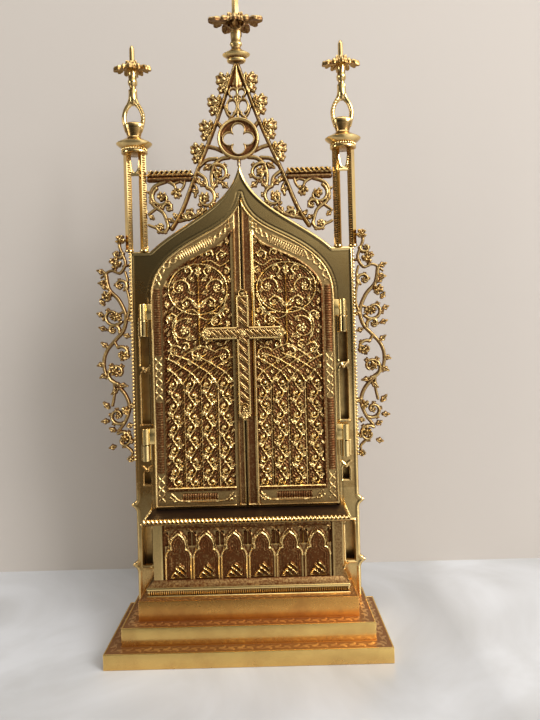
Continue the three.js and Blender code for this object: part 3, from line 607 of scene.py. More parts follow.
def vine_strip(length, band, pitch, side):
    """A low winding vine on one strip of a step's top: the front one, the right one or the left one."""
    strip = Casting((-length / 2, 0), (length / 2, band), 0.42)
    along = np.linspace(-length / 2 + 2, length / 2 - 2, int(length * 1.6))
    middle = band / 2 + 0.1
    swing = band * 0.2
    strip.stem(np.stack([along, middle + swing * np.sin(along * 2 * np.pi / pitch)], axis=1), 0.7, 0.1)
    for k in range(int(-length / pitch), int(length / pitch) + 1):
        x = k * pitch / 2
        way = 1 if k % 2 else -1
        if abs(x) < length / 2 - 3:
            strip.leaf(x - 1.2, middle - way * swing * 0.5, way * 25, pitch * 0.42, band * 0.36, 0.13)
            strip.ball(x + pitch * 0.2, middle + way * swing * 1.4, 0.8, 0.12)
    strip.patina[:] = np.clip(0.75 - 8 * strip.height, 0, 1)
    to_end = length / 2 - np.abs(strip.X)
    to_front_corner = (to_end, strip.X + length / 2, length / 2 - strip.X)[side]
    mitre = np.minimum(to_end, to_front_corner - strip.Z)
    depth = np.minimum(strip.Z, band - strip.Z)
    strip.metal = np.minimum(mitre, depth + 0.1)
    return cast_mesh(strip, -STRIP_GROUND, STRIP_SEAT, whole_back=True)


def step_block(name, node, metal, band, pitch):
    """One step: a tray with a polished lip and, on the three strips that show, the vine."""
    low, high = box_mm(node)
    tall = high[2] - low[2]
    profile = [
        (0.25, 0.0, 0.5), (0.0, 0.25, 0.3), (0.0, tall - 0.35, 0.0), (0.1, tall - 0.1, 0.0),
        (0.3, tall, 0.0), (LIP - 0.3, tall, 0.0), (LIP - 0.1, tall - 0.1, 0.2),
        (LIP, tall - SUNK, 1.0), (LIP + 0.4, tall - SUNK, 1.0),
    ]
    piece(name, moulding(low, high, profile), metal, "bright_brass", stands_for=(node,))

    strips = []
    inner_low = low[:2] + LIP + 0.05
    inner_high = high[:2] - LIP - 0.05
    for side in range(3):
        length = (inner_high - inner_low)[0 if side == 0 else 1]
        vertices, faces, hollow = vine_strip(length, band, pitch, side)
        flat = laid_flat(vertices, high[2] - SUNK)
        if side == 0:
            flat[:, 1] += inner_low[1]
        else:
            way = 1 if side == 1 else -1
            swung = flat.copy()
            swung[:, 0] = way * (inner_high[0] - flat[:, 1])
            swung[:, 1] = way * flat[:, 0] + (inner_low[1] + inner_high[1]) / 2
            flat = swung
        strips.append((flat, faces, hollow))
    piece(f"{name}_vine", joined(strips), PATINA, "patinated_brass", crease=60)


step_block("slab", "plinth_slab", STEP, 6.8, 11.0)
step_block("second_step", "middle_step", STEP, 6.8, 10.0)
step_block("third_step", "upper_step", REDDENED, 3.6, 8.0)

# Foot of the predella: a brass moulding cast in one length and set on the steps. It has a strip of close
# upright ribs between two bright fillets, and a sloped top that has gone brown.
RIBS = 94
SIDE_RIBS = 13


def row_of_units():
    """A geometry tree that sets rounded units at even steps along a line, turned one way and the other."""
    tree = bpy.data.node_groups.new("row of units", "GeometryNodeTree")
    tree.is_modifier = True
    add_sockets(
        tree, "INPUT", ("Geometry", "Geometry"), ("Count", "Int"), ("Size", "Vector"), ("Tilt", "Float"),
        ("Facing", "Float"), ("Material", "Material"),
    )
    add_sockets(tree, "OUTPUT", ("Geometry", "Geometry"))
    start = tree.nodes.new("NodeGroupInput")
    end = tree.nodes.new("NodeGroupOutput")
    line = tree.nodes.new("GeometryNodeMeshToCurve")
    points = tree.nodes.new("GeometryNodeCurveToPoints")
    unit = new_node(tree, "GeometryNodeMeshUVSphere", {"Segments": 8, "Rings": 6, "Radius": 1.0})
    index = tree.nodes.new("GeometryNodeInputIndex")
    odd = new_node(tree, "ShaderNodeMath", {1: 2}, operation="MODULO")
    way = new_node(tree, "ShaderNodeMath", {1: 2, 2: -1}, operation="MULTIPLY_ADD")
    tilt = new_node(tree, "ShaderNodeMath", operation="MULTIPLY")
    turn = tree.nodes.new("ShaderNodeCombineXYZ")
    placed = tree.nodes.new("GeometryNodeInstanceOnPoints")
    real = tree.nodes.new("GeometryNodeRealizeInstances")
    finish = tree.nodes.new("GeometryNodeSetMaterial")
    wire(
        tree,
        (start, "Geometry", line, "Mesh"), (line, "Curve", points, "Curve"),
        (start, "Count", points, "Count"), (points, "Points", placed, "Points"),
        (unit, "Mesh", placed, "Instance"),
        (index, "Index", odd, 0), (odd, "Value", way, 0), (way, "Value", tilt, 0), (start, "Tilt", tilt, 1),
        (tilt, "Value", turn, "Y"), (start, "Facing", turn, "Z"), (turn, "Vector", placed, "Rotation"),
        (start, "Size", placed, "Scale"), (placed, "Instances", real, "Geometry"),
        (real, "Geometry", finish, "Geometry"), (start, "Material", finish, "Material"),
        (finish, "Geometry", end, "Geometry"),
    )
    return tree


ROW = row_of_units()


def row(name, path, count, size, tilt=0.0, facing=0.0, hollow=0.0):
    """A row of units along a path in millimetres, as (vertices, faces, hollow) to join to a piece."""
    line = bpy.data.meshes.new(f"{name}_line")
    points = [tuple(value * MM for value in place) for place in path]
    line.from_pydata(points, [(k, k + 1) for k in range(len(points) - 1)], [])
    holder = bpy.data.objects.new(f"{name}_line", line)
    bpy.context.scene.collection.objects.link(holder)
    maker = holder.modifiers.new("row", "NODES")
    maker.node_group = ROW
    values = {
        "Count": count, "Size": [value * MM for value in size], "Tilt": math.radians(tilt),
        "Facing": math.radians(facing), "Material": CAST,
    }
    for entry in ROW.interface.items_tree:
        if entry.in_out == "INPUT" and entry.name in values:
            maker[entry.identifier] = values[entry.name]
    bpy.context.view_layer.update()
    made = bpy.data.meshes.new_from_object(holder.evaluated_get(bpy.context.evaluated_depsgraph_get()))
    bpy.data.objects.remove(holder)

    vertices = np.empty(len(made.vertices) * 3)
    made.vertices.foreach_get("co", vertices)
    vertices = vertices.reshape(-1, 3) / MM
    by_size = {}
    for polygon in made.polygons:
        by_size.setdefault(len(polygon.vertices), []).append(tuple(polygon.vertices))
    return vertices, [np.array(group) for group in by_size.values()], np.full(len(vertices), hollow)


def predella_foot():
    low, high = box_mm("predella_foot")
    profile = [
        (0.5, 0.0, 1.0), (0.3, 0.1, 0.6), (0.1, 0.3, 0.1), (0.0, 0.8, 0.0), (0.1, 1.4, 0.0), (0.4, 1.7, 0.5),
        (1.0, 1.8, 1.0), (1.6, 2.0, 1.0), (1.6, 4.7, 1.0), (0.9, 4.9, 0.9), (0.3, 5.0, 0.4), (0.05, 5.2, 0.0),
        (0.0, 5.7, 0.0), (0.05, 6.4, 0.0), (0.3, 6.8, 0.2), (0.6, 6.9, 0.84), (3.6, 9.4, 0.8),
        (4.0, 10.0, 1.0),
    ]
    parts = [moulding(low, high, profile, open_back=True)]
    strip = low[2] + 3.35
    front = low[1] + 1.1
    across = [(low[0] + 1.6, front, strip), (high[0] - 1.6, front, strip)]
    parts.append(row("ribs", across, RIBS, (0.4, 1.0, 1.5)))
    for x in (low[0] + 1.1, high[0] - 1.1):
        parts.append(row("ribs", [(x, front, strip), (x, high[1] - 1, strip)], SIDE_RIBS, (0.8, 0.32, 1.3)))
    piece(
        "predella_foot_moulding", joined(parts), CAST, "cast_brass", stands_for=("predella_foot",),
        crease=32,
    )


predella_foot()

# Predella: a cast panel of six trefoil-headed blind niches between smooth end pilasters, held between
# its foot and the cornice. The niche edges are bright and the stepped mouldings inside them red-brown,
# with a small relief of slanting strokes at each niche's foot.
NICHES = 6
NICHE_PITCH = 17.6
NICHE_HALF = 7.9
NICHE_FOOT = 40.0
NICHE_SPRING = 54.3
NICHE_CUSP = (4.4, 59.6)
NICHE_APEX = 69.4
NICHE_RELIEF = 2.35
NICHE_STROKES = (
    ((-4.4, 42.8), (-1.4, 46.6)), ((-1.6, 48.2), (4.6, 42.9)), ((-2.6, 45.4), (1.2, 42.4)),
    ((0.6, 49.8), (4.8, 45.8)),
)


def bent(points, count):
    """A smooth line through its points, as a Catmull-Rom curve."""
    points = np.asarray(points, float)
    padded = np.concatenate([[2 * points[0] - points[1]], points, [2 * points[-1] - points[-2]]])
    line = []
    for k in range(len(points) - 1):
        before, here, after, beyond = padded[k:k + 4]
        for share in np.linspace(0, 1, count, endpoint=False):
            line.append(0.5 * (
                2 * here + (after - before) * share
                + (2 * before - 5 * here + 4 * after - beyond) * share ** 2
                + (3 * here - before - 3 * after + beyond) * share ** 3
            ))
    line.append(points[-1])
    return np.array(line)


def inside_distance(outline, x, z):
    """Distance to a closed outline, positive inside it."""
    nearest = np.full(x.shape, 1e6)
    within = np.zeros(x.shape, bool)
    for a, b in zip(outline, np.roll(outline, -1, axis=0)):
        along = b - a
        share = np.clip(((x - a[0]) * along[0] + (z - a[1]) * along[1]) / max(along @ along, 1e-9), 0, 1)
        nearest = np.minimum(nearest, np.hypot(x - a[0] - share * along[0], z - a[1] - share * along[1]))
        if a[1] != b[1]:
            spans = (a[1] > z) != (b[1] > z)
            within ^= spans & (x < a[0] + (z - a[1]) * along[0] / along[1])
    return np.where(within, nearest, -nearest)


def niche_outline(x):
    shoulder = [(NICHE_HALF, NICHE_SPRING), (NICHE_HALF - 0.5, NICHE_SPRING + 2.6), (6.2, 58.9), NICHE_CUSP]
    head = [NICHE_CUSP, (4.9, 62.4), (4.1, 65.2), (2.3, 67.8), (0, NICHE_APEX)]
    right = np.concatenate([[(NICHE_HALF, NICHE_FOOT)], bent(shoulder, 3), bent(head, 3)[1:]])
    left = right[:-1][::-1] * (-1, 1)
    return np.concatenate([right, left]) + (x, 0)


def niches(panel):
    """The niches: bright edges, stepped mouldings inside them, and the strokes at their feet."""
    depths = [-9, -0.5, -0.45, 0, 0.45, 0.5, 1.4, 1.5, 1.75, 2.0, 2.1, 3.0, 3.1, 3.3, 3.5, 3.6, 9]
    rises = [
        1.5, 1.5, 2.0, NICHE_RELIEF, 2.0, 1.3, 1.2, 1.4, 1.55, 1.4, 0.9, 0.8, 0.95, 1.05, 0.95, 0.5, 0.45,
    ]
    for k in range(NICHES):
        middle = (k - (NICHES - 1) / 2) * NICHE_PITCH
        near = np.abs(panel.x - middle) < NICHE_PITCH / 2
        depth = inside_distance(niche_outline(middle), panel.X[near], panel.Z[near])
        panel.height[near] = np.interp(depth, depths, rises)
        panel.patina[near] = np.where(depth > 0.6, 0.9, np.where(depth > -0.5, -0.3, 0.45))
        for (x0, z0), (x1, z1) in NICHE_STROKES:
            stroke = [(middle + x0, z0), (middle + (x0 + x1) / 2, (z0 + z1) / 2 + 0.5), (middle + x1, z1)]
            panel.stem(bent(stroke, 4), 1.7, 2.9, 0.9)
        relief = near[:, None] & (np.abs(panel.X - middle) < 5.4) & (panel.Z < 51.5) & (panel.height > 1.35)
        panel.patina = np.where(relief, -0.35, panel.patina)


def spandrels(panel):
    """Between the niche heads: a pair of sunk slots, a mullion, and branching ribs with small leaves."""
    for k in range(NICHES + 1):
        middle = (k - NICHES / 2) * NICHE_PITCH
        off = np.abs(panel.X - middle)
        slot = np.minimum(1.0 - np.abs(off - 1.4), np.minimum(panel.Z - 62.2, 70.6 - panel.Z))
        panel.paint((off < 4.6) & (slot > 0), 0.3, 0.9)
        panel.stem([(middle, 61.5), (middle, 70)], 0.75, 1.9)
        for way in (-1, 1):
            for line in (
                [(0, 54.5), (2.1, 59.0), (3.0, 63.6), (2.6, 68.2)], [(2.6, 68.2), (0, 71.2), (-3.2, 73.2)],
                [(3.0, 63.6), (4.6, 67.6), (7.6, 71.2)],
            ):
                panel.stem(bent([(middle + way * run, up) for run, up in line], 4), 1.05, NICHE_RELIEF)
            panel.leaf(middle + way * 4.2, 65.6, 90 - way * 38, 3.4, 1.5, 2.1, lobes=1)


def predella():
    low, high = box_mm("predella")
    panel = Casting((low[0], low[2]), (high[0], high[2]), 0.36)
    panel.height[:] = 1.5
    panel.patina[:] = 0.25
    niches(panel)
    spandrels(panel)
    panel.stem([(low[0] + 7, 73.0), (high[0] - 7, 73.0)], 0.9, 2.0)
    panel.paint(panel.Z > 73.4, 1.5, 0.5)
    off = np.abs(panel.X)
    # The right end pilaster is painted darker than the left one: painted shade.
    panel.paint(off > high[0] - 6.2, 2.3, np.where(panel.X > 0, 0.42, 0.0))
    panel.paint(np.abs(off - (high[0] - 6.5)) < 0.5, 0.6, 0.8)
    panel.metal[:] = np.inf
    panel.trim(low[0], high[0], low[2], high[2])
    skin = cast_mesh(panel, low[1] + NICHE_RELIEF, high[1], whole_back=True)
    piece("niche_panel", skin, CAST, "cast_brass", stands_for=("predella",), crease=50)


predella()

# Cornice: a cast plate over the niches. A zigzag rope of bright units runs along its edge, above a
# fillet, and its flat top, which lies in shade, is the shelf in front of the doors.
ROPE_PITCH = 2.55
ROPE_UNIT = (0.6, 1.0, 1.8)
SHADED = brass("shaded brass", (0.30, 0.20, 0.09), (0.07, 0.04, 0.025), 0.5, 0.42, 0.5, 0.2)


def cornice():
    low, high = box_mm("predella_cornice")
    profile = [
        (2.2, 0.0, 1.0), (1.6, 0.4, 0.9), (1.2, 0.7, 0.5), (0.9, 1.0, 0.3), (0.9, 1.5, 0.2), (1.3, 1.7, 0.7),
        (1.9, 1.8, 1.0), (1.9, 4.0, 1.0), (2.6, 4.25, 0.8), (4.0, 4.35, 1.0),
    ]
    parts = [moulding(low, high, profile, open_back=True)]
    edge = low[2] + 2.95
    units = 2 * int(round((high[0] - low[0] - 2.4) / ROPE_PITCH)) - 1
    front = [(low[0] + 1.6, low[1] + 1.1, edge), (high[0] - 1.6, low[1] + 1.1, edge)]
    parts.append(row("rope", front, units, ROPE_UNIT, tilt=33))
    for x in (low[0] + 1.1, high[0] - 1.1):
        side = [(x, low[1] + 2.0, edge), (x, high[1] - 1.2, edge)]
        parts.append(row("rope", side, 8, ROPE_UNIT, tilt=30, facing=90))
    made = piece(
        "cornice_with_rope", joined(parts), POLISHED, "bright_brass", stands_for=("predella_cornice",),
        crease=40,
    )
    made.data.materials.append(SHADED)
    smallest_top_face = 2e-5
    for polygon in made.data.polygons:
        if polygon.normal.z > 0.9 and polygon.area > smallest_top_face:
            polygon.material_index = 1


cornice()

# Front frame: one pierced brass casting, two legs and posts under an ogee head. Its flat band is
# polished and smudged, both of its edges are chamfered bright, and beads run down its outer edges.
POST_HALF = 73.5
POST_TOP = 251.0
OPENING_HALF = 60.4
OPENING_FOOT = 19.35
EXTRADOS = ((60, POST_TOP), (40, 270), (4, 279), (0, 309))
INTRADOS_LOW = ((OPENING_HALF, 220), (OPENING_HALF, 240), (46, 250.5), (28.6, 259.5))
INTRADOS_HIGH = ((28.6, 259.5), (17, 265.5), (3, 271), (0, 287.5))
POST_SLOT = 65.5
LEG_SLOT = 67
SLOTS = (
    (POST_SLOT, 175, 210, 5.3), (POST_SLOT, 137, 172, 5.3), (POST_SLOT, 97.5, 106, 4.6),
    (LEG_SLOT, 44, 70, 6.2),
)
LEG_CROCKETS = (44.5, 84)
BEADS_FOOT = 114
BEADS_HEAD = 250
BEAD_PITCH = 2.3


def bezier(corners, count):
    a, b, c, d = (np.array(corner, float) for corner in corners)
    t = np.linspace(0, 1, count + 1)[:, None]
    return a * (1 - t) ** 3 + 3 * b * t * (1 - t) ** 2 + 3 * c * t ** 2 * (1 - t) + d * t ** 3


def mirrored_about_centre(right):
    """A half outline that ends on the centre line, closed by its mirror image."""
    return np.concatenate([right, right[:-1][::-1] * (-1, 1)])


def front_frame():
    low, high = box_mm("front_frame")
    plate = Casting((low[0], low[2]), (high[0], high[2]), 0.5)
    x, z = np.abs(plate.X), plate.Z
    crockets = []
    for height in LEG_CROCKETS:
        crockets += [
            (POST_HALF, height - 4.5), (POST_HALF + 0.9, height - 2.6), (POST_HALF + 3.3, height - 0.6),
            (POST_HALF + 3.3, height + 0.6), (POST_HALF + 1.6, height + 1.5), (POST_HALF, height + 3.5),
        ]
    outer = np.concatenate([
        [(OPENING_HALF - 0.01, OPENING_FOOT), (POST_HALF, OPENING_FOOT)], crockets, [(POST_HALF, POST_TOP)],
        bezier(EXTRADOS, 24),
    ])
    opening = np.concatenate([
        [(OPENING_HALF, OPENING_FOOT - 9)], bezier(INTRADOS_LOW, 16), bezier(INTRADOS_HIGH, 16)[1:],
    ])
    to_outer = inside_distance(mirrored_about_centre(outer), x, z)
    to_opening = -inside_distance(mirrored_about_centre(opening), x, z)
    to_slot = np.full(x.shape, 99.0)
    for middle, foot, top, width in SLOTS:
        half = width / 2
        arch = np.hypot(x - middle, np.maximum(z - (top - half), 0) * 0.75)
        away = np.maximum(arch - half, foot - z)
        to_slot = np.minimum(to_slot, away)
    plate.metal = np.minimum(np.minimum(to_outer, to_opening), to_slot)

    flat = 0.75
    lip = np.interp(to_opening, [0, 0.25, 0.7, 1.4, 1.9, 2.5], [0.6, 1.2, 1.5, 1.15, 0.55, flat])
    brim = np.interp(to_outer, [0, 0.3, 1.1], [0.1, 0.4, flat])
    plate.height = np.minimum(np.where(to_opening < 2.5, lip, flat), brim)
    edge = np.interp(to_outer, [0, 0.5, 1.2, 1.9, 2.4], [0.2, 0.75, 1.05, 0.95, flat])
    plate.height = np.where((to_outer < 2.4) & (to_opening > 2.5), edge, plate.height)
    rim = np.interp(to_slot, [0, 0.3, 0.7, 1.1], [0.3, 0.8, 0.95, flat])
    plate.height = np.where((to_slot < 1.1) & (to_outer > 1.2), rim, plate.height)
    for way in (-1, 1):
        for tier, middle in ((136.1, POST_SLOT), (70.9, LEG_SLOT)):
            plate.stem([(way * (middle - 3.4), tier), (way * (middle + 3.4), tier)], 1.8, 1.6)
        for foot in (173.4, 107.6):
            for turn in (-1, 1):
                cusp = [
                    (POST_SLOT + turn * 3.2, foot + 2.2), (POST_SLOT + turn * 1.2, foot + 0.4),
                    (POST_SLOT, foot - 1.6),
                ]
                plate.stem(bent(np.array(cusp) * (way, 1), 4), 1.3, 1.35)
            plate.ball(way * POST_SLOT, foot - 1.4, 1.4, 1.5)
        bracket = [(60.9, 28), (61.6, 36), (64, 42.2), (70, 42.8)]
        plate.stem(bent(np.array(bracket) * (way, 1), 5), 1.2, 1.3)
        for height in LEG_CROCKETS:
            plate.ball(way * (POST_HALF + 1.9), height, 1.7, 1.5, petals=3, turn=90 - way * 90)
    plate.metal = np.minimum(plate.metal, np.minimum(to_outer, to_opening))
    for middle, foot, top, width in SLOTS:
        open_slot = (np.abs(x - middle) < width / 2 - 0.3) & (z > foot + 0.3) & (z < top - width / 2)
        plate.metal = np.where(open_slot, np.minimum(plate.metal, -0.2), plate.metal)
    plate.patina = np.where(z < 130, 0.2, 0.04) - 0.2 * np.clip((z - 235) / 20, 0, 1)
    # Painted shade: the left post is darker from about 90 to 245 mm up.
    plate.patina += np.interp(z, [88, 96, 215, 245], [0, 0.7, 0.7, 0]) * (plate.X < 0)
    # Painted light: the right leg below 92 mm is lighter.
    plate.patina -= np.where(z < 92, 0.3, 0.0) * (plate.X > 0)
    parts = [cast_mesh(plate, low[1] + 1.75, high[1])]
    for way in (-1, 1):
        edge_x = way * (POST_HALF + 0.1)
        edge_line = [(edge_x, low[1] + 1.3, BEADS_FOOT), (edge_x, low[1] + 1.3, BEADS_HEAD)]
        parts.append(row("beads", edge_line, int((BEADS_HEAD - BEADS_FOOT) / BEAD_PITCH), (0.95, 0.9, 1.0)))
    piece(
        "ogee_frame", joined(parts), POLISHED, "bright_brass", stands_for=("front_frame",), crease=35,
        merge_back=True,
    )


front_frame()

# Case: a shallow box of sheet brass behind the frame, with a floor level with the cornice. It keeps the
# shape it was built with, and its inside has gone brown.
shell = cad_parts["cabinet_case"]
shell.data.materials.clear()
shell.data.materials.append(
    brass("case brass", (0.72, 0.50, 0.20), (0.22, 0.10, 0.035), 0.75, 0.3, 0.5, 0.3)
)

# Doors: two cast leaves that mirror each other, a bright raised border round a deep field. The border
# has milled red-brown panels and braids; the field has four lancets of vine under interlaced ribs and a
# great ring of scrollwork. Each leaf is cast in one with the upper knuckles of its two hinges.
HINGE_X = 65.4
HINGE_Y = 7.0
HINGE_JOINTS = (124.0, 205.5)
HINGE_PLAY = 0.15
KNUCKLE = 10.5
BARREL_RADIUS = 2.5
DOOR_GROUND = 8.2
DOOR_BACK = 10.6
FIELD_LEFT = 6.9
FIELD_RIGHT = 51.6
FIELD_FOOT = 94.0
SPRING = 163.0
LANCETS = 4
DOOR_FOOT = 82.5
DOOR_SIDE = 60.1
RING = {"x": 29.0, "z": 225.0, "wide": 19.2, "tall": 16.6}
STEM_X = 28.7
STILE_X = 55.9


def arc(x, z, radius_x, radius_z, start, end, count):
    turn = np.radians(np.linspace(start, end, count))
    return np.stack([x + radius_x * np.cos(turn), z + radius_z * np.sin(turn)], axis=1)


def volute(x, z, radius, start, turn, inner):
    """A volute's line, winding in from `radius` at the angle `start` through `turn` degrees."""
    count = max(int(abs(turn) / 20), 4)
    share = np.linspace(0, 1, count)
    angle = np.radians(start + turn * share)
    reach = radius * (1 + (inner - 1) * share)
    return np.stack([x + reach * np.cos(angle), z + reach * np.sin(angle)], axis=1)


def vine_bay(leaf, x, foot, top):
    """A vine winds up one lancet, with a curled shoot and leaves in each of its bends."""
    units = 5
    pitch = (top - foot) / units
    heights = np.linspace(foot, top, 61)
    wave = x + 1.9 * np.sin((heights - foot) * 2 * np.pi / pitch)
    leaf.stem(np.stack([wave, heights], axis=1), 1.4, 1.3)
    for k in range(2 * units):
        side = 1 if k % 2 else -1
        z = foot + (k + 0.5) * pitch / 2
        leaf.leaf(x - side * 1.2, z + 0.2, 90 + side * 48, 5.2, 3.0, 1.7, lobes=2)
        leaf.leaf(x + side * 3.2, z - 3.2, 90 + side * 14, 4.4, 2.4, 1.5, lobes=2)
        leaf.leaf(x - side * 3.4, z + 1.4, 90 - side * 20, 4.0, 2.3, 1.4, lobes=2)
        leaf.stem(volute(x + side * 1.0, z, 3.1, 90 + side * 60, side * 330, 0.3), 1.5, 1.85, 0.9)
        leaf.ball(x + side * 1.0, z, 1.25, 2.0)


def scroll(leaf, x, z, radius, start, turn, width, height, boss, leafy):
    """A volute that ends in a flower, with small leaves along its outer side."""
    leaf.stem(volute(x, z, radius, start, turn, 0.34), width, height, width * 0.7)
    leaf.ball(x, z, radius * 0.36 + 0.4, height + boss, petals=5)
    way = 1 if turn > 0 else -1
    for k in range(3):
        share = 0.18 + 0.22 * k
        angle = start + turn * share
        reach = radius * (1 - 0.66 * share) * 0.98
        at_x = x + reach * math.cos(math.radians(angle))
        at_z = z + reach * math.sin(math.radians(angle))
        leaf.leaf(at_x, at_z, angle + way * 62, radius * 0.52, radius * 0.3 * leafy, height * 0.85, lobes=2)


def braid(leaf, points, half, pitch, height):
    """Two flat strands crossing each other along a line, with a bud in every mesh."""
    points = np.asarray(points, float)
    steps = np.hypot(*np.diff(points, axis=0).T)
    run = np.concatenate([[0], np.cumsum(steps)])
    count = max(int(round(run[-1] / pitch)), 1)
    points_per_mesh = 8
    fine = np.linspace(0, run[-1], count * points_per_mesh + 1)
    line = np.stack([np.interp(fine, run, points[:, k]) for k in (0, 1)], axis=1)
    along = np.gradient(line, axis=0)
    along /= np.linalg.norm(along, axis=1)[:, None]
    across = np.stack([-along[:, 1], along[:, 0]], axis=1)
    for way in (-1, 1):
        swing = way * half * np.cos(np.pi * fine / run[-1] * count)
        leaf.stem(line + across * swing[:, None], 0.95, height)
    for k in range(count):
        here = k * points_per_mesh + points_per_mesh // 2
        turn = math.degrees(math.atan2(along[here][1], along[here][0]))
        leaf.leaf(*(line[here] - along[here] * 1.2), turn, 2.6, 1.3, height, lobes=1)


def ribbed(leaf, points, half, pitch, height, depth=0.14, brown=0.8):
    """A rounded strip along a line, milled crosswise with close ribs, and red-brown."""
    points = np.asarray(points, float)
    run = 0.0
    for a, b in zip(points[:-1], points[1:]):
        place = leaf.window([a, b], half + 0.5)
        length = float(np.hypot(*(b - a)))
        turn = math.degrees(math.atan2(b[1] - a[1], b[0] - a[0]))
        along, across = leaf.local(place, a[0], a[1], turn)
        on = (along >= -0.05) & (along <= length + 0.05) & (np.abs(across) < half)
        wave = height + 0.5 - 0.5 * (across / half) ** 2 + depth * np.cos((along + run) * 2 * np.pi / pitch)
        leaf.height[place] = np.where(on, wave, leaf.height[place])
        leaf.patina[place] = np.where(on, brown, leaf.patina[place])
        run += length


def fill_gaps(leaf):
    """Small slanting leaves in every spot of the field that is still bare."""
    for k, z in enumerate(np.arange(FIELD_FOOT + 3, 258, 2.9)):
        for x in np.arange(FIELD_LEFT + 1.4 + k % 2 * 1.5, FIELD_RIGHT - 1, 2.9):
            place = leaf.window([(x, z)], 1.0)
            if leaf.height[place].max() < 0.1:
                leaf.leaf(x + 1.2, z - 1.3, 130, 3.9, 2.2, 1.45, lobes=1)


def door_lancets(leaf):
    """Four bays of vine between double mullions, under ribs that cross each other."""
    bay = (FIELD_RIGHT - FIELD_LEFT) / LANCETS
    for k in range(LANCETS):
        vine_bay(leaf, FIELD_LEFT + (k + 0.5) * bay, FIELD_FOOT + 1.5, SPRING + 3.5)
    for k in range(1, LANCETS):
        x = FIELD_LEFT + k * bay
        for way in (-1, 1):
            leaf.stem([(x + way * 0.75, FIELD_FOOT), (x + way * 0.75, SPRING)], 0.75, 1.35)
    leaf.stem([(FIELD_LEFT + 0.6, FIELD_FOOT + 0.8), (FIELD_RIGHT - 0.6, FIELD_FOOT + 0.8)], 1.9, 2.1)
    rise = [(0, 0), (4.6, 6.5), (11.2, 11.2), (18.6, 15.8), (26.5, 19.0)]
    for k in range(LANCETS + 1):
        x = FIELD_LEFT + k * bay
        for way in (-1, 1):
            rib = bent([(x + way * run, SPRING + up) for run, up in rise], 5)
            rib = rib[(rib[:, 0] > FIELD_LEFT + 0.3) & (rib[:, 0] < FIELD_RIGHT - 0.3)]
            if len(rib) > 1:
                leaf.stem(rib, 1.5, 1.95 if way < 0 else 1.8)


def door_scrolls(leaf):
    """The great ring above the lancets, its stem with three leaves, and the scrolls round them."""
    for grow, width, height in ((0.0, 1.5, 1.8), (-1.5, 0.7, 1.2)):
        circle = arc(RING["x"], RING["z"], RING["wide"] + grow, RING["tall"] + grow, 0, 360, 60)
        leaf.stem(circle, width, height)
    leaf.stem([(STEM_X, 186), (STEM_X, 209), (STEM_X, 236)], 1.6, 1.9, 1.2)
    leaf.leaf(STEM_X, 233, 90, 8.5, 4.6, 1.8)
    for angle in (128, 52):
        leaf.leaf(STEM_X, 212, angle, 9.5, 3.6, 1.7)
    for x, z, radius, start, turn in (
        (40.9, 226.0, 6.6, 190, -330), (16.8, 226.0, 6.6, -10, 330), (35.6, 237.2, 3.4, 250, -300),
        (21.8, 237.2, 3.4, -70, 300), (36.6, 215.6, 4.2, 160, -300), (20.8, 215.6, 4.2, 20, 300),
        (38.6, 198.2, 8.4, 120, -350), (18.4, 204.0, 5.4, 60, 340), (13.4, 181.0, 5.6, 40, 330),
        (45.2, 184.6, 4.4, 150, -320), (30.2, 181.6, 4.6, 100, -320), (46.8, 206.6, 3.6, 230, -300),
        (10.6, 209.8, 2.9, -60, 290), (12.6, 246.8, 4.0, -50, 300), (21.4, 248.0, 2.9, 200, -280),
        (47.6, 238.2, 2.8, 200, -280), (10.2, 236.6, 2.4, 90, 300), (38.0, 187.4, 3.0, 60, 300),
        (22.0, 188.0, 3.4, 120, -300),
    ):
        scroll(leaf, x, z, radius, start, turn, 1.75, 1.75, boss=0.25, leafy=1.5)
    for line in (
        [(STEM_X, 209), (34, 212), (43, 208), (46.5, 199), (43, 190)],
        [(STEM_X, 207), (22, 205), (13.5, 212), (9.2, 221)],
        [(STEM_X, 188), (33, 186), (39, 182), (44, 178)],
        [(STEM_X, 188), (24, 186.5), (18, 183.5)],
        [(11, 214), (17, 207), (24, 201), (28, 194)],
        [(9, 191), (12, 197), (9, 203)],
        [(49.5, 192), (47, 187), (50, 179)],
        [(8.6, 243), (14, 240), (20, 243.5), (26, 243)],
        [(37, 243), (43, 240.5), (48.5, 234)],
    ):
        leaf.stem(bent(line, 6), 1.4, 1.6)
    for x, z, angle in (
        (31, 230, 40), (26.5, 230, 140), (31, 222, 20), (26.5, 222, 160), (33.5, 206, -40), (24, 199, 230),
        (49.5, 213, 80), (8.3, 228, 85), (9.4, 199, 80), (49.3, 203, 95), (31.5, 192, 40), (25.5, 192, 140),
        (42, 176.5, 20), (16, 175.5, 160), (35, 175, 70), (23, 174.6, 110), (16, 253, 150), (30.5, 245.6, 0),
        (9, 253.5, 85), (14, 188, 20), (43, 220, -80), (14.5, 219.5, -100), (49.6, 226, 92), (49.6, 171, 92),
    ):
        leaf.leaf(x, z, angle, 5.4, 3.2, 1.6, lobes=2)


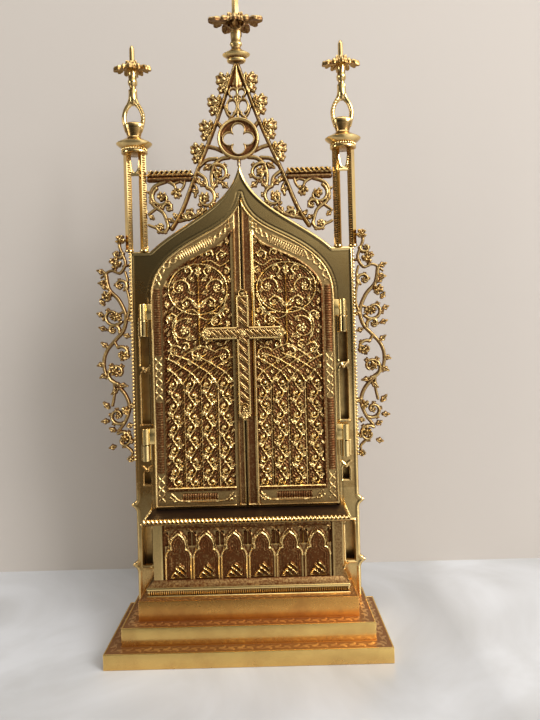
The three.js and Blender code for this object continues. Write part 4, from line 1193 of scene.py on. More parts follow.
def door_border(leaf):
    """The border's milled panels between fine rims, its braids, and leaves in its lower corners."""
    for foot, head in ((105, 152), (182, 226)):
        ribbed(leaf, [(STILE_X, foot), (STILE_X, head)], 2.3, 1.6, 1.4)
        for way in (-1, 1):
            leaf.stem([(STILE_X + way * 2.6, foot), (STILE_X + way * 2.6, head)], 0.6, 2.1)
    for foot, head in ((153.5, 180.5), (86, 103.5)):
        braid(leaf, [(STILE_X, foot), (STILE_X, head)], 2.0, 5.6, 2.1)
    rail = np.array([
        (55.6, 228), (53.6, 236), (48.6, 241.6), (40.5, 246.6), (29, 252.2), (19, 257), (11.4, 262.4),
        (6.5, 269.4),
    ])
    milled = bent(rail[3:6], 6)
    ribbed(leaf, milled, 2.1, 1.6, 1.4, 0.3, 0.25)
    for way in (-1, 1):
        leaf.stem(milled + (way * 1.0, way * 2.15), 0.6, 2.1)
    braid(leaf, bent(rail[:4], 4), 1.8, 5.0, 2.1)
    braid(leaf, bent(rail[5:], 4), 1.5, 5.0, 2.1)
    ribbed(leaf, [(19.5, 89.4), (42.5, 89.4)], 2.1, 1.6, 1.1, 0.3)
    sweep = [(9, 91.5), (12.5, 87.6), (17, 86.4), (29, 86.0), (41, 86.4), (45.5, 87.6), (49.5, 91.5)]
    leaf.stem(bent(sweep, 4), 1.0, 2.3)
    for corner_x, angles in ((10.4, (20, 75, 130)), (48.2, (50, 105, 160))):
        for angle in angles:
            leaf.leaf(corner_x, 86.4, angle, 4.4, 1.9, 2.2, lobes=2)


def meeting_stile(leaf, side, to_edge):
    """A hatched strip and two ridges; on the right leaf the inner ridge is the broad cover reed."""
    x, z = leaf.X, leaf.Z
    hatch = 1.2 + 0.16 * np.cos((z + x) * 2 * np.pi / 1.1)
    if side == "right":
        leaf.paint((x > 1.1) & (x < 5.6) & (to_edge > 1.3), hatch, 0.72)
        leaf.stem([(0.75, DOOR_FOOT + 1), (0.75, 280)], 0.7, 2.1)
        leaf.stem([(7.2, DOOR_FOOT + 1), (7.2, 260)], 2.9, 2.6)
        reed = np.abs(x - 7.2) < 1.3
        # The reed is bright polished brass above 197 mm; below that, under the cross, it is painted darker as
        # painted shade.
        leaf.patina = np.where(reed, np.where(z > 197, -0.3, 0.45), leaf.patina)
    else:
        leaf.paint((x > 1.0) & (x < 4.3) & (to_edge > 1.3), hatch, 0.45)
        leaf.paint((x >= 4.3) & (x < 7.5) & (z < 259), 1.45, 0.3)
        leaf.stem([(0.7, DOOR_FOOT + 1), (0.7, 280)], 0.9, 2.3)
        leaf.stem([(4.6, DOOR_FOOT + 1), (4.6, 264)], 0.9, 2.3)


def door_casting(side):
    """A leaf's relief, drawn for the right side. Only the meeting stiles of the two leaves differ."""
    low, high = box_mm("right_door")
    leaf = Casting((low[0], DOOR_FOOT), (DOOR_SIDE, high[2]), 0.4)
    x, z = leaf.X, leaf.Z
    top = np.concatenate([bezier(INTRADOS_LOW, 16), bezier(INTRADOS_HIGH, 16)[1:]])
    top[:, 0] = np.clip(top[:, 0] - 0.35, 0, None)
    top[:, 1] -= 0.5
    outline = np.concatenate([
        [(low[0], DOOR_FOOT), (DOOR_SIDE, DOOR_FOOT)], top[:-1], [(low[0], 285.0)],
    ])
    to_edge = inside_distance(outline, x, z)
    field_top = np.concatenate([
        bezier(((FIELD_RIGHT, 222), (FIELD_RIGHT, 233), (39, 242), (24, 248.5)), 10),
        bezier(((24, 248.5), (14, 252.5), (8.5, 257), (FIELD_LEFT, 262)), 8)[1:],
    ])
    field = np.concatenate([[(FIELD_LEFT, FIELD_FOOT), (FIELD_RIGHT, FIELD_FOOT)], field_top])
    to_field = inside_distance(field, x, z)

    door_lancets(leaf)
    door_scrolls(leaf)
    fill_gaps(leaf)
    chased = np.sin((x + 0.85 * z) * 2 * np.pi / 2.3) * np.cos((x - z) * np.pi / 4.6 + 0.9 * np.sin(z * 0.7))
    leaf.height = np.maximum(leaf.height, 0.3 + 0.75 * np.clip(chased, -0.3, 1))
    leaf.patina = 0.95 * np.clip((1.45 - leaf.height) / 0.85, 0, 1)
    slope = np.interp(to_field, [-0.9, -0.45, 0, 0.35], [1.9, 2.35, 1.9, 0])
    field_edge = np.maximum(slope, np.where(to_field > 0, leaf.height, 0))
    leaf.height = np.where(to_field < 0.35, field_edge, leaf.height)
    border = to_field < -0.9
    leaf.paint(border, 1.55, 0.18)
    outer_lip = np.interp(to_edge, [0, 0.25, 0.9, 1.2], [1.2, 2.0, 2.2, 1.55])
    leaf.height = np.where((to_edge < 1.2) & border, outer_lip, leaf.height)
    door_border(leaf)
    meeting_stile(leaf, side, to_edge)
    leaf.metal = to_edge
    return leaf


def barrel(foot, top):
    """A polished hinge knuckle with rounded ends."""
    sides = 20
    rings = []
    end = [(0.4, 0), (0.85, 0.02), (0.98, 0.12), (1.0, 0.35), (1.0, 0.5)]
    levels = [(share, foot + rise) for share, rise in end]
    levels += [(share, top - rise) for share, rise in reversed(end)]
    turn = np.radians(np.arange(sides) * 360 / sides)
    for share, z in levels:
        reach = BARREL_RADIUS * share
        rings.append(np.stack([
            HINGE_X + reach * np.cos(turn), HINGE_Y + reach * np.sin(turn), np.full(sides, z),
        ], axis=1))
    return loft(rings)


def block_skin(x0, x1, y0, y1, z0, z1):
    """A small block with softened edges, as a stack of rings."""
    soft = 0.25
    levels = ((soft, z0), (0, z0 + soft), (0, z1 - soft), (soft, z1))
    return loft([rectangle(x0, x1, y0, y1, inset, z, soft) for inset, z in levels])


def door_parts(side):
    parts = [cast_mesh(door_casting(side), DOOR_GROUND, DOOR_BACK, whole_back=True)]
    for joint in HINGE_JOINTS:
        foot = joint + HINGE_PLAY
        parts.append(barrel(foot, foot + KNUCKLE))
        strap = (foot + 0.1, foot + KNUCKLE - 0.1)
        parts.append(block_skin(DOOR_SIDE - 0.6, HINGE_X, HINGE_Y - 0.7, HINGE_Y + 0.9, *strap))
    return joined(parts)


def flipped(skin):
    """The mirror image of a skin in the middle plane, with its faces turned right side out."""
    vertices, faces, hollow = skin
    return vertices * (-1, 1, 1), [group[:, ::-1] for group in faces], hollow


for side, body in (("left", "left_leaf"), ("right", "right_leaf")):
    skin = door_parts(side)
    if side == "left":
        skin = flipped(skin)
    piece(
        f"{side}_relief_door", skin, CAST, "cast_brass", body=body,
        stands_for=(f"{side}_door",), crease=50,
    )

# Hinges: the fixed lower knuckle of each hinge, cast with a small plate that is soldered to the post.
for side, way in (("left", -1), ("right", 1)):
    for level, joint in zip(("lower", "upper"), HINGE_JOINTS):
        head = joint - HINGE_PLAY
        plate = block_skin(HINGE_X - 3.4, HINGE_X + 3.7, 8.6, 9.6, head - KNUCKLE, head)
        skin = joined([barrel(head - KNUCKLE, head), plate])
        if way < 0:
            skin = flipped(skin)
        piece(
            f"{side}_{level}_knuckle", skin, POLISHED, "bright_brass",
            stands_for=(f"{side}_{level}_hinge",), crease=40,
        )

# Cross: a flat bar casting on the meeting line, fixed to the right leaf by a pad. Smooth rims run along
# its arms, slanting strokes fill them, and it has leafy points, a coiled rosette and one at its foot.
CROSSING = 195.5
CROSS_HALF = 4.1
CROSS_FOOT = 142.5
CROSS_HEAD = 220
CROSS_ARM = 24.2
CROSS_PLANE = 3.85
CROSS_BACK = 5.4


def strokes(cross, start, end, pitch, upright):
    """Slanting strokes in threes across a bar, from one end to the other."""
    reach = 2.6
    count = int(abs(end - start) / pitch)
    for k in range(count + 1):
        middle = start + (end - start) * k / count
        for lag, height in ((0, 1.15), (1.25, 1.0), (2.5, 0.75)):
            at = middle + lag
            if upright:
                line = [(-reach, at + reach * 0.95), (reach, at - reach * 0.95)]
            else:
                line = [(at - reach * 0.95, CROSSING + reach), (at + reach * 0.95, CROSSING - reach)]
            cross.stem(line, 0.62, height)


def door_cross():
    low, high = box_mm("door_cross")
    cross = Casting((low[0], low[2]), (high[0], high[2]), 0.3)
    everything = (slice(None), slice(None))
    across = np.abs(cross.X)
    upright = np.minimum(CROSS_HALF - across, np.minimum(cross.Z - CROSS_FOOT, CROSS_HEAD - cross.Z))
    beam = np.minimum(CROSS_HALF - np.abs(cross.Z - CROSSING), CROSS_ARM - across)
    bars = np.maximum(upright, beam)
    cross.lay(everything, bars, np.full(bars.shape, 0.35))
    strokes(cross, 146.5, 189.5, 5.4, True)
    strokes(cross, 201.5, 214.5, 5.4, True)
    strokes(cross, -21.5, 20.5, 4.2, False)
    rim = np.interp(bars, [0, 0.25, 0.7, 1.15, 1.45], [0.5, 1.05, 1.25, 1.0, 0.3])
    inner = (across < CROSS_HALF - 0.2) & (np.abs(cross.Z - CROSSING) < CROSS_HALF - 0.2)
    cross.height = np.where((bars > 0) & (bars < 1.45) & ~inner, np.maximum(cross.height, rim), cross.height)
    for x, z, angle in ((23, CROSSING, 0), (-23, CROSSING, 180), (0, 143.8, -90)):
        cross.leaf(x, z, angle, 5.2, 5.4, 1.6, lobes=2)
        for turn in (-58, 58):
            cross.leaf(x, z, angle + turn, 5.0, 3.0, 1.5, lobes=2)
        cross.ball(x, z, 2.6, 1.6, petals=6)
    cross.stem(volute(0, 221, 3.3, -60, 560, 0.2), 1.1, 1.55)
    cross.ball(0, 221, 1.0, 1.6)
    cross.stem(volute(0.3, 147.6, 2.9, 200, -480, 0.3), 1.05, 1.5)
    cross.ball(0, CROSSING, 2.2, 1.5, petals=4, turn=45)
    cross.trim(-high[0], high[0], low[2], high[2])
    cross.patina += np.where(cross.height < 0.6, 0.4, 0.2)
    pad = block_skin(1.2, 3.8, 5.0, high[1] - 0.02, 176, 210)
    piece(
        "leafy_cross", joined([cast_mesh(cross, CROSS_PLANE, CROSS_BACK), pad]), CAST, "cast_brass",
        body="right_leaf", stands_for=("door_cross",), crease=45, merge_back=True,
    )


door_cross()

# Gable: an openwork casting that stands on the ogee band. Two grooved raking bars carry leafy crockets
# and meet under the finial; between them are scrolls, a pierced roundel and a pair of small lights.
GABLE_HALF = 47.25
GABLE_PLANE = 11.6
OPEN_BACK = 12.5
RAKE = ((0.9, 373.4), (14.6, 335), (28.2, 303), (38.3, 278), (45.4, 266.2))
CROCKETS = ((8.6, 364), (14.6, 349.5), (20.6, 333), (26.7, 318))
ROUNDEL = {"z": 324.4, "radius": 13.9, "lobe": 4.0}


def above_band(x, z):
    """How far a point lies above the ogee band, less the gap that the openwork keeps."""
    half = np.concatenate([[(90, 200), (90, POST_TOP)], bezier(EXTRADOS, 24)])
    return -inside_distance(mirrored_about_centre(half), x, z) - 0.35


def crocket(casting, x, z, facing, size, height):
    """A leafy lump on a bar: a thick curled leaf with plump side lobes that lap over each other."""
    tip = math.radians(facing)
    casting.leaf(x, z, facing, size, size * 0.62, height * 0.7, lobes=1)
    for turn, long, wide, share in ((62, 0.66, 0.44, 1.0), (24, 0.92, 0.4, 0.85)):
        for way in (1, -1):
            casting.leaf(x, z, facing + way * turn, size * long, size * wide, height * share, lobes=1)
    for turn, reach in ((62, 0.46), (-62, 0.46), (22, 0.74), (-22, 0.74)):
        angle = math.radians(facing + turn)
        ball_x = x + size * reach * math.cos(angle)
        ball_z = z + size * reach * math.sin(angle)
        casting.ball(ball_x, ball_z, size * 0.17, height * 0.95)
    casting.ball(x + size * 0.36 * math.cos(tip), z + size * 0.36 * math.sin(tip), size * 0.2, height * 1.05)


def browned_and_shaded(casting, top):
    """Old patina and painted shade on the flanks of openwork: brown low down, rubbed bright on the crowns."""
    casting.patina += 0.28 + 1.1 * np.clip(1 - casting.height / top, 0, 1)


def both_sides(casting):
    """Completes a casting whose right half alone was drawn."""
    for layer in (casting.metal, casting.height, casting.patina):
        np.maximum(layer, layer[::-1].copy(), out=layer)


def mirrored_pair(skin, name, node, material, slot, **finish):
    """The same casting on both sides: the right one as it was drawn, the left one its mirror image."""
    for side, own in (("left", flipped(skin)), ("right", skin)):
        piece(f"{side}_{name}", own, material, slot, stands_for=(f"{side}_{node}",), **finish)


def gable_scrolls(net):
    """The right half of the openwork: crockets, lights, bars, scrolls and leaves."""
    for cx, cz in CROCKETS:
        crocket(net, cx - 3.0, cz - 1.8, 24, 9.2, 2.9)
        crocket(net, cx - 2.4, cz - 6.2, 0, 7.0, 2.5)
        net.ball(cx + 0.6, cz - 1.0, 2.7, 2.5)
        net.ball(cx + 0.4, cz - 6.0, 2.2, 2.2)
    for light_x, light_z, tall, wide in ((3.7, 346.0, 4.6, 3.3), (2.7, 355.0, 2.9, 2.7)):
        net.stem(arc(light_x, light_z, wide, tall, -70, 250, 24), 1.5, 1.9)
    net.stem([(0, 373), (0, 365.5), (0, 361.2)], 2.0, 2.0, 8.8)
    net.stem([(0, 372), (0, 358)], 1.6, 2.6)
    for cusp_x in (1.4, 4.4):
        net.ball(cusp_x, 350.6, 1.2, 2.0)
    for line, width, height in (
        ([(0, 336.8), (0, 343), (0, 360)], 2.0, 1.9), ([(0, 313), (0, 307)], 2.4, 1.8),
        ([(3.4, 337.4), (6.6, 341), (8.4, 346)], 2.0, 1.7),
        ([(0, 344), (2.4, 340.6), (5.4, 337.6)], 1.9, 1.8),
        ([(10.6, 316.4), (15, 318.6), (20.2, 320)], 2.6, 1.6),
        ([(10.6, 331.6), (12.4, 334.4), (14.2, 336)], 2.8, 1.6),
        ([(6.5, 312.4), (12, 311.4), (16.6, 307), (18.4, 300), (17.6, 292)], 2.7, 1.9),
        ([(28, 303), (22.6, 298.5), (21.3, 292.4)], 2.5, 1.9),
        ([(26.5, 306.5), (21, 311), (14.6, 311.8)], 2.5, 1.8),
        ([(23, 278.6), (30, 273.8), (40.6, 271.0)], 2.5, 1.7),
        ([(31, 296), (28.4, 292), (29.6, 287)], 2.1, 1.6),
    ):
        net.stem(bent(line, 5), width, height, groove=0.25)
    for cx, cz, radius, start, turn in (
        (13.6, 301.5, 6.8, 60, 300), (22.8, 285.6, 7.4, 100, 310), (34.0, 273.4, 3.4, 150, -280),
    ):
        scroll(net, cx, cz, radius, start, turn, 2.7, 2.0, boss=0.6, leafy=1.9)
    for leaf_x, leaf_z, angle, length in (
        (14.5, 298, -60, 7.4), (24.6, 279.6, -52, 6.8), (31, 279, -38, 7.4), (18, 308, -30, 6.4),
        (22, 294, 30, 5.6), (12, 296, 220, 5.6), (27, 290, 10, 4.8), (29, 300, 240, 5.4),
        (19.6, 282, 210, 5.0), (36, 272, 60, 4.6),
    ):
        net.leaf(leaf_x, leaf_z, angle, length * 1.1, 4.4, 1.9, lobes=2)
    crocket(net, 12.4, 301.4, 30, 6.4, 2.9)
    crocket(net, 21.2, 285.4, 20, 6.6, 2.9)


def gable():
    low, high = box_mm("gable")
    net = Casting((-GABLE_HALF, low[2]), (GABLE_HALF, high[2]), 0.32)
    gable_scrolls(net)
    x, z = net.X, net.Z
    away = np.hypot(x, z - ROUNDEL["z"])
    lobe = ROUNDEL["lobe"]
    outside = away - lobe * 1.12
    for dx, dz in ((1, 0), (-1, 0), (0, 1), (0, -1)):
        to_lobe = np.hypot(x - dx * lobe * 1.5, z - ROUNDEL["z"] - dz * lobe * 1.5) - lobe
        outside = np.minimum(outside, to_lobe)
    to_rim = ROUNDEL["radius"] - away
    disc = np.minimum(to_rim, outside)
    dish = np.interp(to_rim, [0, 0.5, 1.1, 1.7, 2.6, 3.4, 6], [1.6, 2.7, 2.9, 2.3, 0.8, 0.5, 0.9])
    dish = np.where(outside < 0.9, np.maximum(dish, 1.7 - 0.9 * np.abs(outside - 0.4)), dish)
    covered = disc > 0
    within_rim = away < ROUNDEL["radius"] - 0.6
    net.metal = np.where(within_rim, outside, np.maximum(net.metal, disc))
    net.height = np.where(covered, dish, net.height)
    net.patina = np.where(covered & (to_rim > 2.0) & (outside > 0.8), 0.62, net.patina)
    net.stem(bent(RAKE, 8), 2.6, 3.1, 3.2, ridge=True)
    both_sides(net)
    net.metal = np.where(within_rim & (outside < 0), outside, net.metal)
    net.metal = np.minimum(net.metal, above_band(x, z))
    net.trim(-high[0], high[0], low[2], high[2])
    browned_and_shaded(net, 2.0)
    piece(
        "openwork_gable", cast_mesh(net, GABLE_PLANE, OPEN_BACK), CAST, "cast_brass",
        stands_for=("gable",), crease=75, merge_back=True,
    )


gable()

# Crest grilles: a small openwork panel at each shoulder, a flowered spiral under a straight rail whose
# top edge is cut like a rope.
RAIL_FOOT = 297.0
RAIL_INNER = 31.9
RAIL_OUTER = 61.0
ROPE_TURNS = 9


def crest_grille():
    low, high = box_mm("right_crest_grille")
    panel = Casting((low[0], low[2]), (high[0], high[2]), 0.3)
    panel.stem([(RAIL_INNER + 1, RAIL_FOOT + 1.7), (RAIL_OUTER - 1, RAIL_FOOT + 1.7)], 3.4, 2.0)
    in_rail = np.clip((panel.Z - 296.6) / 0.4, 0, 1) * np.clip((300.4 - panel.Z) / 0.4, 0, 1)
    panel.patina[:] = 0.5 * in_rail
    panel.stem([(RAIL_INNER, 301.6), (RAIL_OUTER - 0.6, 301.6)], 2.8, 1.4)
    for k in range(ROPE_TURNS):
        x = RAIL_INNER + 1.6 + (RAIL_OUTER - RAIL_INNER - 3.2) * k / (ROPE_TURNS - 1)
        panel.stem([(x - 1.25, 303.9), (x + 1.15, 301.0)], 1.5, 2.9, 1.3)
        panel.stem([(x + 0.9, 304.1), (x - 0.2, 302.6)], 1.0, 2.3, 0.8)
    for line, width in (
        ([(46, 298.4), (56.6, 294.2), (59.2, 287), (57.2, 281.5), (51, 276.5), (47.8, 267.4)], 2.4),
        ([(50, 298.6), (43.6, 295), (41.8, 289.5)], 2.1), ([(56, 279.5), (60.7, 276)], 1.9),
        ([(55.4, 266.4), (60.7, 268.8)], 1.9), ([(36, 298.4), (37.2, 294), (40, 290.4)], 1.7),
        ([(58.8, 290), (60.9, 290.6)], 1.8), ([(37.4, 296), (39.6, 297), (43, 296)], 1.5),
    ):
        panel.stem(bent(line, 6), width, 1.9, groove=0.3)
    for x, z, radius, start, turn in (
        (51.8, 286.8, 7.0, 62, -300), (47.8, 279.8, 3.7, 0, 300), (52.6, 267.4, 4.6, 170, 290),
    ):
        scroll(panel, x, z, radius, start, turn, 2.4, 2.0, boss=0.6, leafy=1.8)
    crocket(panel, 42.6, 291.6, 250, 6.4, 3.0)
    crocket(panel, 49.8, 286.4, 30, 5.8, 3.2)
    panel.ball(52.8, 267.2, 2.6, 3.0, petals=5)
    for x, z, angle, length in (
        (44.6, 276.4, 230, 5), (57, 272.4, 40, 4.4), (48.6, 272.6, 200, 5.2), (56, 283, 10, 4),
    ):
        panel.leaf(x, z, angle, length * 1.15, 3.3, 2.0, lobes=2)
    browned_and_shaded(panel, 2.0)
    panel.patina -= 0.6 * (panel.Z > 300.8)
    panel.metal = np.minimum(panel.metal, above_band(panel.X, panel.Z))
    panel.trim(low[0], high[0], -np.inf, high[2])
    skin = cast_mesh(panel, GABLE_PLANE + 0.1, OPEN_BACK)
    mirrored_pair(skin, "scrolled_grille", "crest_grille", CAST, "cast_brass", crease=75, merge_back=True)


crest_grille()

# Scroll wings: openwork of leafy scrolls soldered edge-on to the outer side of each post.
WING_EDGE = 73.8
WING_PLANE = 11.3


def scroll_wing():
    low, high = box_mm("right_scroll_wing")
    wing = Casting((low[0], low[2]), (high[0], high[2]), 0.3)
    wing.patina[:] = 0.05
    for line, width, end_width in (
        ([(78.4, 261.6), (80.8, 256), (78.4, 249), (77, 243.5), (80.5, 237.6), (84.6, 238.6)], 1.7, 1.5),
        ([(90.4, 237.4), (88.3, 227), (81.8, 219.4), (77.6, 208.8), (79.5, 199.5), (84.5, 193.6),
          (90.6, 186.5), (93, 178.6), (91.3, 169.8), (85, 164.4)], 2.2, 1.7),
        ([(86, 164.6), (79.4, 157), (76.8, 148.5), (79.6, 139.6), (84.4, 133)], 2.1, 1.7),
        ([(84, 239.5), (88.4, 238.6), (93.4, 234.6)], 1.7, 0.9),
        ([(77.4, 206), (74.9, 214), (75.2, 221), (76.6, 227)], 1.7, 1.4),
        ([(85.4, 209), (78.4, 212)], 1.4, 1.4), ([(83.2, 188), (86, 192.6)], 1.6, 1.4),
        ([(80.6, 123.8), (75.6, 118.6), (78.2, 113.4)], 1.6, 1.0),
        ([(78.4, 226), (76, 232), (77.2, 238)], 1.3, 1.3), ([(88, 150), (86.4, 158), (86.6, 164)], 1.5, 1.3),
    ):
        wing.stem(bent(line, 6), width * 1.25, 1.9, end_width * 1.25, groove=0.3)
    for z in (242.6, 206.5, 148.6, 127):
        wing.stem([(WING_EDGE, z), (78.4, z - 0.6)], 1.7, 1.2)
    for x, z, radius, start, turn in (
        (82, 250.4, 3.6, 180, 260), (80.6, 229, 4.7, 215, -300), (86.2, 209, 6.8, 215, 290),
        (86, 199.6, 4.3, 200, -290), (84.2, 171.4, 7.1, -90, 320), (80.8, 184, 5.1, 60, 310),
        (84.4, 143, 5.8, -130, 310), (80.9, 127, 5.8, 50, 330),
    ):
        scroll(wing, x, z, radius, start, turn, 2.4, 2.1, boss=0.5, leafy=1.8)
    for x, z, facing, size in (
        (82, 241.4, 60, 5.2), (79.6, 257.4, 80, 4.6), (87.4, 221.6, 20, 5.2), (85.2, 209, 200, 4.4),
        (80.4, 184, 220, 4.2), (84.8, 171.8, 30, 4.6), (80.8, 127.6, 120, 4.2), (80.8, 145.6, 150, 4.2),
        (77, 116, 250, 3.4),
    ):
        crocket(wing, x, z, facing, size * 1.25, 3.2)
    for x, z, angle, length in (
        (90.4, 237.6, 20, 6.0), (89, 232, -10, 6.6), (88.4, 227, 30, 6.4), (92.2, 209.6, 20, 4.8),
        (91.6, 216, 60, 5.4), (90.4, 200, 20, 5.6), (89.6, 188, 40, 6.2), (92.8, 178, -20, 4.8),
        (91, 171, -30, 5.6), (84, 163.6, 190, 6.8), (83.6, 161.4, -40, 6.4), (89.8, 147.6, 50, 6.4),
        (90, 139.6, 0, 5.6), (86, 132.6, 30, 5.2), (77.2, 150, 200, 4.0), (79.4, 196.6, 200, 4.8),
        (77, 206, 150, 3.4), (86, 122.8, -10, 5.0), (79, 136, 170, 4.4), (83.6, 247, -30, 4.8),
    ):
        wing.leaf(x, z, angle, length * 1.05, 3.6, 2.2, lobes=2)
    browned_and_shaded(wing, 2.1)
    wing.trim(WING_EDGE, high[0], low[2], high[2])
    skin = cast_mesh(wing, WING_PLANE, OPEN_BACK)
    mirrored_pair(skin, "leafy_wing", "scroll_wing", CAST, "cast_brass", crease=75, merge_back=True)


scroll_wing()

# Pinnacles: two slim shafts set diamond-wise, milled on one face and bright on the other, under a
# turned capital, a cup with a pear-shaped ring, a leaf cross and a spike. Each is soldered to a post.
PINNACLE_X = 69.1
PINNACLE_Y = 11.2
SHAFTS = (64.2, 74.0)
SHAFT_RADIUS = 2.7
SHAFT_TOP = 317.0
NOTCH_PITCH = 1.5


def turned(profile, x, y, sides, depth=1.0, dullness=0.34, foot=0.0):
    """A lathe form from (radius, height above its foot) pairs, dark in its grooves; `depth` makes it oval."""
    radii = np.array([radius for radius, _ in profile])
    beside = (np.append(radii[:1], radii[:-1]) + np.append(radii[1:], radii[-1:])) / 2
    angle = np.radians(np.arange(sides) * 360 / sides)
    rings = []
    for radius, height in profile:
        reach = max(radius, 0.04)
        rings.append(np.stack([
            x + reach * np.cos(angle), y + reach * depth * np.sin(angle), np.full(sides, foot + height),
        ], axis=1))
    return loft(rings, np.clip(dullness + 0.7 * (beside - radii), 0, 0.95))


def rod(line, y, radius, sides):
    """A round rod with rounded ends along a line of (x, z) points in the upright plane at y."""
    line = np.asarray(line, float)
    points = np.stack([line[:, 0], np.full(len(line), y), line[:, 1]], axis=1)
    along = np.gradient(points, axis=0)
    along /= np.linalg.norm(along, axis=1)[:, None]
    side = np.cross(along, (0.03, 1.0, 0.02))
    side /= np.linalg.norm(side, axis=1)[:, None]
    other = np.cross(side, along)
    turn = np.radians(np.arange(sides) * 360 / sides)
    rings = []
    for k, at in enumerate(points):
        rings.append(at + radius * (np.cos(turn)[:, None] * side[k] - np.sin(turn)[:, None] * other[k]))
    first = points[0] + 0.35 * (rings[0] - points[0]) - along[0] * radius * 0.5
    last = points[-1] + 0.35 * (rings[-1] - points[-1]) + along[-1] * radius * 0.5
    return loft([first, *rings, last])


def spread_leaf(x, y, z, facing, length, width, fold, lift):
    """A thick leaf that stands out from a stem: a lobed point and a round lobe to each side of it."""
    blade = Casting((-0.6, -width * 0.6), (length + 0.6, width * 0.6), 0.4)
    blade.stem([(0, 0), (length * 0.85, 0)], width * 0.36, 1.9, width * 0.2)
    for way in (-1, 1):
        blade.leaf(length * 0.14, way * width * 0.06, way * 50, width * 0.62, width * 0.42, 1.9, lobes=1)
        blade.ball(length * 0.14 + width * 0.34, way * width * 0.42, width * 0.16, 2.3)
        blade.leaf(length * 0.52, way * width * 0.04, way * 34, width * 0.46, width * 0.34, 1.8, lobes=1)
    blade.leaf(length * 0.46, 0, 0, length * 0.54, width * 0.46, 2.0, lobes=1)
    blade.ball(length * 0.9, 0, width * 0.13, 2.2)
    vertices, faces, hollow = cast_mesh(blade, 0, 1.1)
    along, down, across = vertices.T
    share = np.clip(along / length, 0, 1)
    height = z + lift * share ** 2 - fold * np.abs(across) - 0.03 * across ** 2 - down
    turn = math.radians(facing)
    bent_vertices = np.stack([
        x + along * math.cos(turn) - across * math.sin(turn),
        y + along * math.sin(turn) + across * math.cos(turn),
        height,
    ], axis=1)
    return bent_vertices, faces, np.clip(hollow + 0.26, 0, 1)


def leaf_cross(x, y, z, length, width, fold, lift, droop):
    """Four leaves: the side pair spreads level, the front and back pair is shorter and hangs."""
    spread = [spread_leaf(x, y, z, facing, length, width, fold, lift) for facing in (0, 180)]
    short = [spread_leaf(x, y, z, facing, length * 0.62, width * 0.8, fold, droop) for facing in (90, 270)]
    return spread + short


def ring_of_beads(name, x, y, z, radius, count, size, depth):
    angle = np.radians(np.linspace(0, 360, 33))
    path = [(x + radius * math.cos(a), y + radius * depth * math.sin(a), z) for a in angle]
    return row(name, path, count + 1, (size, size, size))


def square_rod(x, y, levels):
    """A rod of square section turned corner-on, from (half diagonal, height) pairs."""
    corners = np.array([(0, -1), (1, 0), (0, 1), (-1, 0)])
    return loft([np.column_stack([corners * reach + (x, y), np.full(4, z)]) for reach, z in levels])


def shaft(x, y, foot, head):
    """A square rod turned corner-on, with a milled left-hand face and a round foot."""
    full = SHAFT_RADIUS * 0.93
    soft = full * 0.92
    levels = ((soft, foot), (full, foot + 0.5), (full, head - 0.5), (soft, head))
    edge = [(x - 1.3, y - 1.3, foot + 1), (x - 1.3, y - 1.3, head - 1)]
    count = int((head - foot) / NOTCH_PITCH)
    return [
        square_rod(x, y, levels),
        row("notches", edge, count, (1.25, 0.75, 0.42), facing=-45, tilt=9, hollow=0.9),
        turned([(2.4, 0), (3.0, 0.3), (3.0, 1.2), (2.2, 1.8)], x, y, 16, foot=foot),
    ]


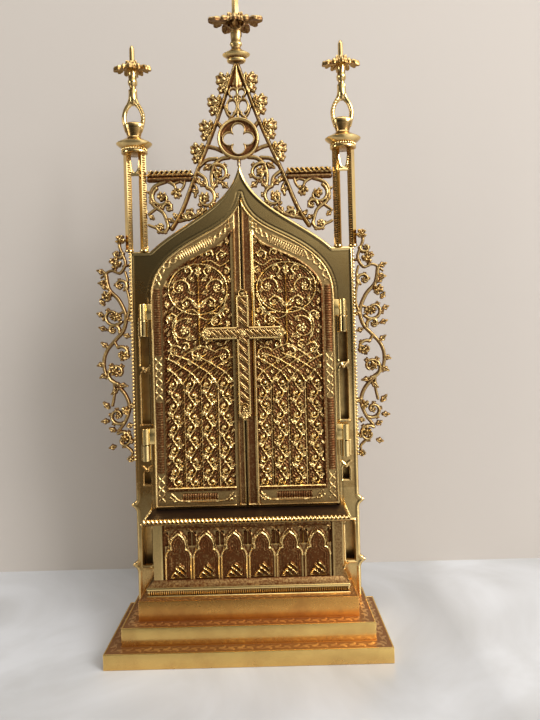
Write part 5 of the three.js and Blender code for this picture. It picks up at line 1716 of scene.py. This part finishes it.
def pinnacle():
    x, y = PINNACLE_X, PINNACLE_Y
    foot = box_mm("right_pinnacle")[0][2]
    parts = []
    for shaft_x in SHAFTS:
        parts += shaft(shaft_x, y, foot, SHAFT_TOP)
    capital = [
        (7.6, -1.3), (8.6, -0.9), (8.8, -0.2), (8.5, 0.5), (7.2, 0.9), (7.2, 1.9), (8.4, 2.6), (10.2, 3.9),
        (11.7, 5.1), (11.9, 5.6), (11.5, 6.0), (8.8, 7.4), (6.2, 8.8), (4.9, 9.6), (4.6, 10.2), (0.5, 10.4),
    ]
    cup = [
        (4.3, 9.4), (4.6, 11), (5.2, 13), (6.2, 15.4), (7.0, 17.4), (6.7, 18.4), (4.9, 19.4), (3.0, 19.9),
        (1.0, 20.1),
    ]
    parts.append(turned(capital, x, y, 28, 0.72, foot=SHAFT_TOP))
    parts.append(turned(cup, x, y, 28, 0.6, 0.7, foot=SHAFT_TOP))
    parts.append(ring_of_beads("rim_beads", x, y, SHAFT_TOP + 1.4, 7.9, 26, 0.85, 0.76))
    right = bent([
        (x + 4.4, 331), (x + 5.3, 334), (x + 6.0, 337), (x + 6.2, 341), (x + 4.9, 345.4), (x + 2.6, 349.4),
        (x + 1.5, 353), (x + 1.3, 358.4),
    ], 6)
    left = right * (-1, 1) + (2 * x, 0)
    parts.append(rod(right, y, 1.6, 10))
    parts.append(rod(left, y, 1.5, 10))
    parts.append(rod(bent([(x - 4.2, 346.4), (x, 349.6), (x + 4.2, 346.4)], 5), y, 1.2, 8))
    beads = [(px - 0.4, y - 1.2, pz) for px, pz in left[3:-14]]
    parts.append(row("ring_beads", beads, 9, (1.15, 1.0, 0.9)))
    parts.append(turned([
        (1.8, 348.6), (2.7, 350.4), (2.9, 353), (2.7, 356.4), (2.0, 358.6), (2.2, 361), (3.1, 362.2),
        (3.2, 364), (2.6, 365.4), (3.0, 368), (3.3, 371), (2.8, 375), (1.9, 377), (1.75, 377.6),
        (1.7, 385.4), (1.0, 387.4), (0.3, 388),
    ], x, y, 14))
    parts += leaf_cross(x, y, 373.6, 12.6, 9.4, 0.2, -1.4, -2.6)
    for facing in (45, 135, 225, 315):
        parts.append(spread_leaf(x, y, 375.2, facing, 5.0, 4.8, 0.3, -0.6))
    left_shaft, right_shaft = SHAFTS
    cusp = [
        (left_shaft + 1.6, 312), (left_shaft + 2.4, 306.4), (x - 1, 303.6), (x + 1, 303.6),
        (right_shaft - 2.4, 306.4), (right_shaft - 1.6, 312),
    ]
    parts.append(rod(bent(cusp, 5), y, 0.95, 8))
    parts.append(rod([(left_shaft + 1, 302.2), (x, 302.4), (right_shaft - 1, 302.2)], y, 0.95, 8))
    mirrored_pair(joined(parts), "milled_pinnacle", "pinnacle", POLISHED, "bright_brass", crease=40)


pinnacle()

# Finial: an oval stem with a knob and a wide thin collar, under a cross of spreading leaves and a plain
# square spike, which the photograph cuts off. It is pinned to the gable's point.


def centre_finial():
    y = PINNACLE_Y
    parts = [turned([
        (4.8, 374.92), (5.9, 375.3), (6.3, 376.0), (6.1, 376.8), (5.0, 377.4), (5.4, 377.8), (7.4, 378.7),
        (9.0, 379.6), (9.2, 380.0), (8.7, 380.4), (6.4, 381.6), (4.4, 382.9), (3.2, 384.0), (3.1, 385.4),
        (3.9, 386.2), (4.1, 387.1), (3.8, 388.0), (3.2, 388.7), (3.3, 391), (3.6, 394), (3.3, 396),
        (4.4, 399), (4.7, 402), (3.6, 405.2), (1.9, 407),
    ], 0, y, 26, 0.62)]
    parts.append(square_rod(0, y, ((1.8, 404), (2.2, 408), (2.1, 419), (1.2, 420))))
    parts += leaf_cross(0, y, 402.9, 18.2, 14.0, 0.16, 0.8, -4.6)
    for facing in (45, 135, 225, 315):
        parts.append(spread_leaf(0, y, 404.6, facing, 7.0, 6.8, 0.3, -0.8))
    for facing in (0, 90, 180, 270):
        parts.append(spread_leaf(0, y, 398.6, facing, 6.6, 5.6, 0.3, 2.6))
    piece("leafy_finial", joined(parts), CAST, "cast_brass", stands_for=("centre_finial",), crease=42)


centre_finial()
